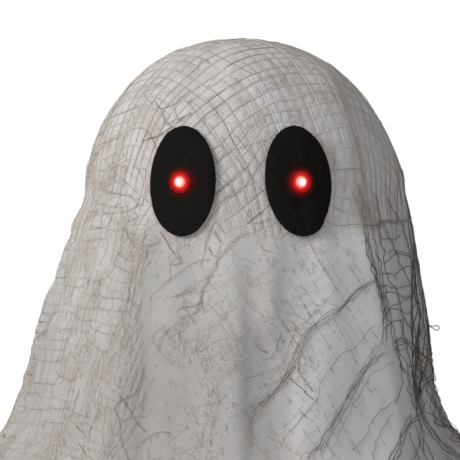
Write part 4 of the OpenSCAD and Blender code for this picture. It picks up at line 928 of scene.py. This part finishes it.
upper = [[place for place in column if place[1] < net["split"]] for column in net["columns"]]
whole = [column for column in net["columns"] if column[-1][1] > net["split"]]
drawn([column for column in upper if len(column) > 3], net["thick"] * 0.7, net["tone"] + 0.36, 0.0007)
drawn(whole, net["thick"], net["tone"] + 0.05, 0.0007, 0.7, 0.42)
drawn(net["rungs"][:3], net["thick"] * 1.1, net["tone"] + 0.32, 0.0008)
drawn(net["rungs"][3:], net["thick"], net["tone"], 0.0008)
drawn(net["fan"], net["thick"], net["tone"] + 0.08, 0.0008)
drawn(net["fan"][:3], net["thick"] * 0.8, net["tone"] + 0.25, 0.0010, 1.6)
limb = {"count": 30, "points": 40, "middle": -0.45,
        "height": [0.735, 0.76, 0.80, 0.825, 0.850], "turn": [0.42, 0.36, 0.28, 0.18, 0.08]}
ends = np.arange(limb["points"])
frayed = easy(np.minimum(ends, ends[::-1]), 12, 0)
for strand in range(limb["count"]):  # the edge of the net, drawn into a dark band along the limb
    top = rng.uniform(0.768, 0.862)
    height = np.linspace(top, max(top - rng.uniform(0.03, 0.09), rng.uniform(0.728, 0.768)), limb["points"])
    sway = 0.16 * ripple(seatOf(height * 40, strand * 1.3), 1.2, 64)
    turn = np.interp(height, limb["height"], limb["turn"]) * (limb["middle"] + rng.uniform(-0.75, 0.6) + sway)
    hang(turn, collarDrop - height, 0.0002 + 0.0003 * rng.uniform(),
         net["thick"] * rng.uniform(0.8, 1.4) * (1 - 0.5 * frayed),
         net["tone"] + rng.uniform(-0.08, 0.12) + 0.4 * frayed)
for number in range(9):  # the same net carried round to the back, where it thins out
    height = np.linspace(rng.uniform(0.835, 0.875), rng.uniform(0.700, 0.770), 36)
    turn = 0.07 + 0.105 * number + 0.035 * ripple(seatOf(height * 60, number * 2.3), 1.0, 68)
    hang(turn, collarDrop - height, 0.0005, net["thick"] * (1 - 0.05 * number),
         net["tone"] + 0.07 * number + rng.uniform(0, 0.1))
for number in range(22):  # and the yarns across it there
    first = rng.uniform(-0.05, 0.45)
    turn = np.linspace(first, first + rng.uniform(0.2, 0.5), 22)
    sway = 0.0016 * ripple(seatOf(turn * 8, number * 1.9), 0.9, 69)
    height = rng.uniform(0.745, 0.850) + sway + 0.003 * np.cos(60 * turn)
    hang(turn, collarDrop - height, 0.0006, net["thick"] * 0.85,
         net["tone"] + 0.75 * turn + rng.uniform(0, 0.1))
fade = np.linspace(0, 1, 30)
for number in range(26):  # loose ends that run on over the shoulder
    height = np.linspace(rng.uniform(0.752, 0.790), rng.uniform(0.680, 0.730), len(fade))
    sway = 0.05 * ripple(seatOf(height * 50, number * 1.7), 1.1, 72)
    turn = rng.uniform(-0.30, 0.75) * np.linspace(1, 1.3, len(fade)) + sway
    hang(turn, collarDrop - height, 0.0005, net["thick"] * (1 - 0.6 * fade),
         0.18 + 0.45 * fade + rng.uniform(-0.05, 0.15))
knots = [  # middle in picture pixels, half width, half height, loops
    ((416, 391), 3.5, 6, 7), ((412, 376), 2.5, 5, 3), ((400, 347), 4, 5, 3)]
for (x, y), wide, high, loops in knots:
    for loop in range(loops):
        turn = np.linspace(0, rng.uniform(1.5, 4), 18) + rng.uniform(0, 6)
        size = rng.uniform(0.35, 1.0)
        loopX = x + wide * size * np.cos(turn) + rng.uniform(-2, 2)
        loopY = y + high * size * np.sin(turn * 1.1) + rng.uniform(-2, 2)
        lay(np.stack([loopX, loopY], -1), net["thick"] * rng.uniform(0.6, 1.0),
            net["tone"] + rng.uniform(-0.08, 0.15), 0.0007 + 0.0008 * rng.uniform())
gauzeStrands = yarnPiece("gauzeStrands", strandRuns, 5)
print("strands made:", len(gauzeStrands.data.polygons), "faces")

strandRuns = []
darkThreads = [
    [(118, 393), (126, 404), (133, 416), (141, 428), (146, 433)],
    [(138, 386), (137, 391), (133, 396), (123, 399), (118, 403), (114, 410)],
    [(99, 408), (93, 423), (90, 433), (89, 439)], [(75, 425), (79, 429), (83, 433)],
    [(79, 443), (82, 449), (86, 454)],
    [(114, 411), (120, 419), (120, 428), (120, 439), (126, 453), (130, 462)],
    [(196, 287), (195, 290), (183, 294), (175, 297)], [(202, 302), (195, 306), (183, 307), (178, 310)],
    [(231, 63), (240, 68), (251, 73)], [(154, 101), (161, 109), (174, 105), (181, 98), (191, 89)],
    [(143, 141), (153, 137), (161, 135), (170, 129), (179, 120), (191, 113)],
    [(249, 209), (246, 219), (247, 222)], [(249, 224), (254, 217), (264, 212)],
    [(254, 224), (265, 221), (270, 219)], [(282, 332), (277, 347), (272, 358), (265, 359)],
    [(299, 355), (298, 372), (305, 382), (313, 392)], [(290, 378), (301, 388), (313, 400)],
    [(299, 410), (303, 414), (307, 418)], [(160, 231), (166, 242), (174, 253)]]
midThreads = [
    [(120, 421), (129, 418), (147, 416)], [(129, 433), (134, 426), (139, 421)],
    [(133, 451), (139, 444), (149, 437), (160, 432), (169, 432)],
    [(154, 377), (146, 391), (144, 401), (133, 410)], [(144, 364), (141, 379), (138, 387)],
    [(157, 346), (163, 337), (169, 329)], [(177, 240), (177, 250), (182, 262), (180, 264), (170, 265)],
    [(211, 230), (205, 245), (202, 262), (198, 267)], [(213, 232), (217, 238), (222, 243)],
    [(207, 248), (212, 253), (218, 258)],
    [(297, 327), (290, 343), (287, 357), (280, 365), (268, 372), (250, 378), (243, 382)],
    [(270, 298), (278, 315), (287, 330), (297, 345)], [(320, 250), (323, 263), (330, 278), (337, 292)],
    [(340, 285), (330, 297), (318, 310), (308, 318)],
    [(161, 110), (165, 119), (165, 125), (178, 119), (191, 113)],
    [(173, 101), (175, 111), (178, 119), (183, 121)], [(184, 99), (188, 103), (193, 98)],
    [(222, 200), (234, 192), (245, 186), (255, 181)], [(220, 203), (232, 196), (244, 190)],
    [(215, 196), (226, 184), (237, 176), (254, 160)],
    [(216, 164), (226, 154), (231, 151), (245, 146), (265, 140)], [(212, 230), (215, 216), (220, 201)],
    [(204, 255), (206, 242), (212, 226)], [(216, 172), (232, 190), (236, 196), (245, 212), (254, 220)],
    [(216, 221), (220, 227), (225, 234)], [(214, 231), (221, 242), (217, 255)],
    [(257, 201), (255, 206), (249, 210)], [(202, 60), (197, 68), (192, 72)],
    [(232, 87), (236, 83), (240, 80)], [(112, 177), (116, 181), (120, 185)],
    [(110, 191), (120, 195), (130, 196), (140, 204)], [(94, 217), (99, 209), (107, 214), (114, 222)],
    [(142, 205), (144, 195), (146, 186)], [(126, 212), (134, 207), (142, 204)],
    [(125, 227), (130, 240), (137, 249)], [(127, 222), (131, 220), (135, 219)],
    [(146, 247), (155, 244), (161, 240)], [(174, 253), (181, 262), (180, 264), (169, 265)],
    [(130, 164), (137, 169), (146, 169)], [(124, 169), (130, 174), (137, 179)],
    [(142, 141), (155, 137), (164, 134)], [(220, 135), (229, 149), (244, 169), (252, 177), (265, 195)],
    [(230, 126), (234, 135), (247, 149), (262, 167)]]
paleThreads = [
    [(283, 247), (273, 263), (260, 275), (245, 285)],
    [(278, 278), (263, 282), (248, 285), (237, 295), (225, 308), (217, 323), (203, 330)],
    [(325, 268), (313, 282), (303, 287), (290, 288)], [(333, 282), (317, 290), (305, 293), (290, 297)],
    [(260, 245), (266, 252), (272, 251)], [(250, 300), (258, 312), (268, 322)],
    [(246, 330), (252, 322), (262, 316)]]
drawn(darkThreads, 0.00012, 0.16)
drawn(midThreads, 0.00010, 0.46)
drawn(paleThreads, 0.00011, 0.78)
fine = {"yarn": (0.00006, 0.00010), "dash": (0.00006, 0.00011), "tone": (-0.12, 0.25)}
strays = [  # picture box, count, tone: long kinked threads that follow the weave's two ways
    ((160, 235, 270, 330), 22, 0.62), ((175, 245, 330, 455), 60, 0.74), ((250, 300, 340, 455), 14, 0.50),
    ((330, 230, 372, 330), 8, 0.55), ((30, 240, 160, 455), 8, 0.84), ((130, 60, 300, 125), 14, 0.66),
    ((85, 110, 150, 240), 12, 0.78)]
for (x0, y0, x1, y1), count, shade in strays:
    for number in range(count):
        bends = [np.array([rng.uniform(x0, x1), rng.uniform(y0, y1)])]
        family = rng.integers(2)
        for _ in range(rng.integers(2, 5)):
            way = biasWays[family] * [1, -1] * (-1 if family == 0 else 1)  # always downward in the picture
            bends.append(bends[-1] + way * rng.uniform(7, 22) + rng.normal(0, 4, 2))
            family = family if rng.uniform() < 0.7 else 1 - family
        lay(route(bends, 24, 0.35), rng.uniform(*fine["yarn"]), shade + rng.uniform(*fine["tone"]), 0.0005)
dashes = [  # picture box, count, how many to a row, degrees from straight down, their spread, longest, tone
    ((308, 235, 380, 440), 6, 7, -33, 4, 9, 0.34), ((165, 240, 330, 455), 110, 1, -12, 26, 9, 0.46),
    ((165, 300, 320, 458), 170, 1, -5, 35, 4.5, 0.40), ((24, 250, 160, 458), 150, 1, 8, 20, 6, 0.46),
    ((90, 90, 150, 250), 60, 1, 10, 22, 7, 0.50), ((130, 60, 330, 130), 50, 1, 30, 40, 6, 0.46)]
share = np.linspace(-0.5, 0.5, 6)
for (x0, y0, x1, y1), count, row, heading, fan, longest, shade in dashes:  # short broken threads
    for number in range(count):
        angle = math.radians(heading + rng.normal(0, fan))
        ahead = np.array([-math.sin(angle), math.cos(angle)])
        place = np.array([rng.uniform(x0, x1), rng.uniform(y0, y1)])
        for _ in range(rng.integers(2, row + 1) if row > 1 else 1):
            length = longest * rng.uniform(0.4, 1)
            line = place + length * share[:, None] * ahead + (rng.normal(0, 2) * share ** 2)[:, None]
            if line[:, 0].max() < 388 and line[:, 1].max() < 460:
                lay(line, rng.uniform(*fine["dash"]), shade + rng.uniform(*fine["tone"]), 0.0004)
            place = place + ahead * (length + rng.uniform(3, 9)) + rng.normal(0, 0.6, 2)
brokenRows = {"heading": math.radians(30), "gap": 13.5, "from": (226, 238), "foot": 450, "count": 14,
              "dash": (4, 9), "space": (2, 7), "tone": 0.34,
              "crease": ([250, 290, 335, 375, 420, 460], [362, 371, 377, 386, 394, 398])}
heading = brokenRows["heading"]
for number in range(brokenRows["count"]):  # what is left of the finer weave at the right
    ahead = np.array([math.sin(heading), math.cos(heading)])
    aside = [brokenRows["gap"] * number + rng.uniform(-2, 2), rng.uniform(0, 14)]
    place = np.array(brokenRows["from"], float) + aside
    while place[1] < brokenRows["foot"]:
        length = rng.uniform(*brokenRows["dash"])
        crease = np.interp(place[1], *brokenRows["crease"])
        bend = heading + rng.normal(0, 0.12)
        ahead = ahead + [math.sin(bend) * 0.3, math.cos(bend) * 0.3]
        ahead /= np.linalg.norm(ahead)
        if 262 + 0.1 * (460 - place[1]) < place[0] < crease - 3 and rng.uniform() < 0.85:
            lay(place + ahead * np.linspace(0, length, 6)[:, None], rng.uniform(*fine["yarn"]),
                brokenRows["tone"] + rng.uniform(-0.12, 0.22), 0.0004)
        place = place + ahead * (length + rng.uniform(*brokenRows["space"])) + rng.normal(0, 0.3, 2)
loose = {"count": 500, "yarn": 0.0001, "long": (0.008, 0.030)}
share = np.linspace(-0.5, 0.5, 9)
for number in range(loose["count"]):  # and all round the figure
    turn0 = rng.uniform(0, math.pi)
    drop0 = rng.uniform(0.01, 0.34) if number % 2 else rng.uniform(0.3, 0.8)
    heading = rng.choice([0.6, -0.6, 0.1, -0.1]) + rng.normal(0, 0.25)
    reach = rng.uniform(*loose["long"]) * share
    radius = max(float(np.interp(drop0, dropSteps, deepTable)), 0.02)
    curl = heading + rng.normal(0, 0.5) * share
    turn = turn0 + reach * np.sin(curl) / radius
    drop = np.abs(drop0 + reach * np.cos(curl))
    hang(turn, np.minimum(drop, fullDrop - 0.03), 0.0005, loose["yarn"] * rng.uniform(0.7, 1.3),
         rng.uniform(0.3, 0.85))
hanging = {"count": 150, "yarn": 0.00022, "long": (0.10, 0.34)}
taper = 0.3 + 0.7 * np.sin(np.linspace(0.1, 3.0, 30))
for number in range(hanging["count"]):  # long yarns that hang down the body
    first = rng.uniform(0.26, 0.70)
    last = min(first + rng.uniform(*hanging["long"]), fullDrop - 0.02)
    drop = np.linspace(first, last, len(taper))
    turn = rng.uniform(-math.pi, math.pi) + 0.09 * ripple(seatOf(drop * 12, number * 1.37), 1.1, 71)
    hang(turn, drop, 0.0006, hanging["yarn"] * rng.uniform(0.6, 1.3) * taper,
         rng.choice([0.35, 0.6, 0.85]) + rng.uniform(-0.1, 0.1))
rough = {"count": 26, "yarn": 0.00014, "stands": 0.0011}
for number in range(rough["count"]):  # slack yarn that stands off the right side, below the net
    top = rng.uniform(0.742, 0.786)
    height = np.linspace(top, top - rng.uniform(0.010, 0.026), 20)
    seat = seatOf(height * 110, number * 1.6)
    turn = rng.uniform(-0.40, 0.25) + 0.09 * ripple(seat, 1.0, 74)
    lift = 0.0003 + rough["stands"] * np.abs(ripple(seat, 1.3, 75))
    hang(turn, collarDrop - height, lift, rough["yarn"] * rng.uniform(0.7, 1.2), rng.uniform(0.08, 0.42))
stub, _ = clothPoints(np.full(1, -0.05), np.full(1, collarDrop - 0.7826), 0.0004)  # one loop that stands out
turn = np.linspace(-2.6, 2.6, 18)
loop = np.stack([0.0036 + 0.0012 * np.cos(turn), turn * 0, 0.0010 * np.sin(turn)], -1)
loopStart = [[-0.001, 0, 0.0004], [0.0012, 0, -0.0001]]
loopEnd = [[0.0012, 0, 0.0002], [-0.001, 0, 0.0010]]
tilt = np.array([[0.98, 0, -0.2], [0, 1, 0], [0.2, 0, 0.98]])
loop = stub + np.concatenate([loopStart, loop, loopEnd]) @ tilt
strandRuns.append((loop, np.tile([0.0, -1.0, 0.0], (len(loop), 1)), 0.00026, 0.0))
gauzeThreads = yarnPiece("gauzeThreads", strandRuns, 3)
print("loose threads made:", len(gauzeThreads.data.polygons), "faces")

# felt eyes, with the lamps' red glow painted on them as painted light
felt = {"wide": 0.0278, "tall": 0.0474, "thick": 0.0015, "lift": 0.0019, "thin": 0.45, "bend": 0.0008,
        "lean": {"Left": 0.07, "Right": -0.02}, "rim": 72,
        "colour": (0.0085, 0.0078, 0.0070), "lint": (0.022, 0.020, 0.018)}
# the lens is the lamp itself; the ring and felt entries are painted red light around it
glow = {"lens": [(0.0, (1.0, 0.95, 0.93)), (0.5, (1.0, 0.80, 0.77)),
                 (0.76, (1.0, 0.34, 0.28)), (1.0, (0.92, 0.065, 0.05))],
        "ring": [(0.0, (0.86, 0.065, 0.050)), (0.25, (0.60, 0.020, 0.016)),
                 (0.6, (0.32, 0.006, 0.005)), (1.0, (0.10, 0.001, 0.001))],
        "felt": (0.09, 0.0010, 0.0010), "reach": (0.0082, 0.0045)}


def lampDistance(finish, side):  # distance from the lamp's middle line
    points = np.array([v.co for v in frame["nodes"]["led_" + side.lower()].data.vertices])
    tip = points[np.argmax(np.hypot(points[:, 0], points[:, 1]))]
    axis = np.array([tip[0], tip[1], 0]) / np.hypot(tip[0], tip[1])
    away = finish.node("VectorMath", {"operation": "SUBTRACT"}, {0: finish.place(), 1: tuple(tip)})
    sideways = finish.node("VectorMath", {"operation": "CROSS_PRODUCT"}, {0: away, 1: tuple(axis)})
    return finish.node("VectorMath", {"operation": "LENGTH"}, {0: sideways}, "Value")


for side in ("Left", "Right"):
    feltFinish = Finish("blackFelt" + side, Roughness=1.0)
    feltFinish.set({"Specular IOR Level": 0.0, "Emission Strength": 1.0})
    fuzz = feltFinish.noise(0.0007, 4, 0.7)
    clump = feltFinish.noise(0.004, 3)
    nap = fuzz.within(0.4, 0.8) * 0.6 + clump * 0.2
    # the felt near each lamp glows red: painted light from the lamp
    halo = lampDistance(feltFinish, side).within(*glow["reach"])
    paintedGlow = halo * halo * (0.75 + fuzz * 0.5)
    feltFinish.set({"Base Color": feltFinish.mix(nap, felt["colour"], felt["lint"]),
                    "Emission Color": feltFinish.mix(paintedGlow, (0, 0, 0), glow["felt"])})
    feltFinish.bump(fuzz + clump * 0.5, 0.0004, 0.8)
    deselectAll()
    bpy.ops.mesh.primitive_cylinder_add(vertices=felt["rim"], radius=0.5, depth=1, end_fill_type="TRIFAN")
    patch = bpy.context.object
    patch.name = "eyePatch" + side
    editAll(patch, (bpy.ops.mesh.subdivide, {"number_cuts": 5}))
    place = np.zeros(len(patch.data.vertices) * 3)
    patch.data.vertices.foreach_get("co", place)
    place = place.reshape(-1, 3)
    reach = np.linalg.norm(place[:, :2], axis=1)
    place[:, :2] *= np.where(reach > 1e-6, np.minimum(reach, 0.5) / np.maximum(reach, 1e-6), 1)[:, None]
    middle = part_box("eye_patch_" + side.lower())
    middle = (middle[0] + middle[1]) / 2
    up = place[:, 1] * felt["tall"]
    across = middle.x + place[:, 0] * felt["wide"] - felt["lean"][side] * up
    drop = dropAt(middle.z + up)
    edge = 1 - easy(reach, 0.42, 0.5) * felt["thin"]  # the cut edge is thinner and bends down to the gauze
    lift = felt["lift"] - felt["bend"] * (1 - edge) / felt["thin"]
    lift = lift + felt["thick"] * (0.5 + place[:, 2] * edge)
    points, _ = clothPoints(frontTurn(across, drop, 1), drop, lift)
    patch.data.vertices.foreach_set("co", points.astype(np.float32).ravel())
    patch.data.materials.append(feltFinish.material)
    editAll(patch, (bpy.ops.mesh.normals_make_consistent, {"inside": False}))
    bpy.ops.object.shade_smooth_by_angle(angle=math.radians(50))
    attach(patch, ghost)
    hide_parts("eye_patch_" + side.lower())
print("felt eyes made")

# finishes of the CAD nodes
slotOf = {row["node"]: row["material_slot"] for row in frame["record"]["subparts"]}


def moulded(name, colour, worn, rough, grain=0.0012, depth=0.00008):
    finish = Finish(name)
    fine, broad = finish.noise(grain, 3), finish.noise(0.03, 4)
    finish.set({"Base Color": finish.mix(broad.within(0.45, 0.75), colour, worn),
                "Roughness": rough - 0.08 + fine * 0.16})
    finish.bump(fine, depth, 0.7)
    return finish


def metal(name, colour, tarnish, rough, stretch):
    finish = Finish(name, Metallic=1.0)
    lines = finish.node("Mapping", {}, {"Vector": finish.place(), "Scale": stretch})
    brushed, broad = finish.noise(0.0006, 2, where=lines), finish.noise(0.02, 4)
    finish.set({"Base Color": finish.mix(broad.within(0.45, 0.75), colour, tarnish),
                "Roughness": rough - 0.08 + brushed * 0.16})
    finish.bump(brushed, 0.00004, 0.5)
    return finish


finishes = {
    "black_plastic": moulded("satinBlackPlastic", (0.022, 0.022, 0.024), (0.035, 0.035, 0.036), 0.48),
    "pole_paint": moulded("blackPolePaint", (0.018, 0.018, 0.019), (0.034, 0.033, 0.032), 0.34,
                          0.0006, 0.00004),
    "steel": metal("zincSteel", (0.62, 0.62, 0.60), (0.48, 0.47, 0.44), 0.34, (1, 1, 0.1)),
    "ballast": metal("greyIron", (0.20, 0.20, 0.20), (0.13, 0.11, 0.10), 0.62, (1, 1, 1)),
    "foot_rubber": moulded("footRubber", (0.016, 0.016, 0.016), (0.028, 0.027, 0.026), 0.85, 0.0009, 0.00012),
    "shell_plastic": moulded("milkyShellPlastic", (0.74, 0.73, 0.70), (0.66, 0.64, 0.60), 0.42),
    "gear_plastic": moulded("creamGearPlastic", (0.70, 0.66, 0.56), (0.60, 0.55, 0.44), 0.38),
    "chassis_plastic": moulded("greyChassisPlastic", (0.16, 0.165, 0.17), (0.21, 0.21, 0.21), 0.5),
    "bush_brass": metal("bushBrass", (0.72, 0.52, 0.22), (0.50, 0.34, 0.14), 0.32, (1, 0.1, 1)),
    "motor_steel": metal("motorCanSteel", (0.58, 0.58, 0.57), (0.44, 0.43, 0.41), 0.30, (1, 0.1, 1)),
    "motor_cap": moulded("motorCapPlastic", (0.60, 0.58, 0.53), (0.50, 0.47, 0.42), 0.45),
    "board": moulded("greenBoard", (0.018, 0.12, 0.045), (0.03, 0.17, 0.06), 0.35, 0.0020, 0.00005),
    "lamp_black": moulded("lampRingBlack", (0.016, 0.016, 0.017), (0.03, 0.03, 0.03), 0.40, 0.0006, 0.00005),
}
wrap = {"colour": (0.23, 0.25, 0.26), "scuffed": (0.30, 0.31, 0.32), "steel": (0.56, 0.56, 0.54),
        "bare": (0.0125, 0.0122)}
cells = Finish("cellWrap", Coat_Weight=0.4)  # plain grey wrapped cells with a bare steel end
height = cells.axis(cells.place(), "Z")
low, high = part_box("battery_cells")
offset = cells.axis(cells.place(), "X") - (low.x + high.x) / 2
middleCell = (offset * offset).within(0.0077 ** 2, 0.0071 ** 2)  # it stands the other way up
topBand = height.within(*[high.z - bare for bare in wrap["bare"]])
lowBand = height.within(*[low.z + bare for bare in wrap["bare"]])
band = topBand * (1 - middleCell) + lowBand * middleCell
scuff = cells.noise(0.004, 4)
wrapped = cells.mix(scuff.within(0.4, 0.8), wrap["colour"], wrap["scuffed"])
cells.set({"Base Color": cells.mix(band, wrapped, wrap["steel"]), "Roughness": 0.28 + scuff * 0.2,
           "Metallic": band * 0.8})
cells.bump(scuff, 0.00005, 0.5)
finishes["cell"] = cells
leads = {"red": (0.30, 0.012, 0.012), "black": (0.018, 0.018, 0.02)}
wires = Finish("wireJacket", Roughness=0.45)  # one lead red, the other black
sideways = wires.axis(wires.place(), "X") * 4000
skin = wires.noise(0.002, 3)
wires.set({"Base Color": wires.mix(sideways.within(-1, 1), leads["red"], leads["black"]),
           "Roughness": 0.38 + skin * 0.16})
wires.bump(skin, 0.00005, 0.5)
finishes["wire"] = wires
for side in ("Left", "Right"):
    lens = Finish("redLamp" + side, Roughness=0.15)
    distance = lampDistance(lens, side)
    cloudy = lens.noise(0.0012, 2)
    lens.set({"Emission Strength": 1.0, "Specular IOR Level": 0.2, "Roughness": 0.1 + cloudy * 0.1,
              "Base Color": lens.mix(cloudy, (0.40, 0.02, 0.015), (0.50, 0.03, 0.02)),
              "Emission Color": lens.ramp(distance.within(0.0, 0.0027), glow["lens"])})
    lens.bump(cloudy, 0.00003, 0.4)
    finishes["lamp_red" + side] = lens
    ring = moulded("lampRing" + side, (0.003, 0.003, 0.003), (0.006, 0.006, 0.006), 0.75, 0.0006, 0.00005)
    around = lampDistance(ring, side)
    # the black ring around the lens glows red: painted light from the lamp
    ring.set({"Emission Strength": 1.0, "Specular IOR Level": 0.02,
              "Emission Color": ring.ramp(around.within(0.0025, 0.0052), glow["ring"])})
    finishes["lamp_black" + side] = ring
finishes["drape_cloth"], finishes["gauze_cloth"] = clothFinish, gauzeFinish
finishes["felt"] = moulded("plainFelt", felt["colour"], (0.03, 0.03, 0.033), 0.95)

for name, node in frame["nodes"].items():
    kind = slotOf[name]
    end = "Left" if name.endswith("left") else "Right"
    finish = finishes.get(kind + end) if name.startswith("led") else None
    finish = finish or finishes[kind]
    if not node.material_slots:
        node.data.materials.append(finish.material)
    for slot in node.material_slots:
        slot.material = finish.material
print("finishes set on", len(frame["nodes"]), "nodes")

# the leaf spring behind the snap button, which on the real toy gives as the button goes in; here it is its CAD
# shape with bevelled edges, riding on the stand, and it does not bend
leaf = {"edge": 0.00012, "travel": jointOf("button_press")["range_m"][1]}
snapLeaf = bpy.data.objects.new("snapLeaf", frame["nodes"]["snap_spring"].data.copy())
bpy.context.scene.collection.objects.link(snapLeaf)
editAll(snapLeaf, (bpy.ops.mesh.remove_doubles, {"threshold": 0.000001}),
        (bpy.ops.mesh.dissolve_limited, {"angle_limit": math.radians(1)}))
applyModifier(snapLeaf, "BEVEL", width=leaf["edge"], segments=2, limit_method="ANGLE")
low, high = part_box("snap_spring")
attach(snapLeaf, "stand")
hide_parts("snap_spring")
1 - leaf["travel"] / (high.y - low.y)
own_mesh(snapLeaf)
print("leaf spring made:", len(snapLeaf.data.polygons), "faces")
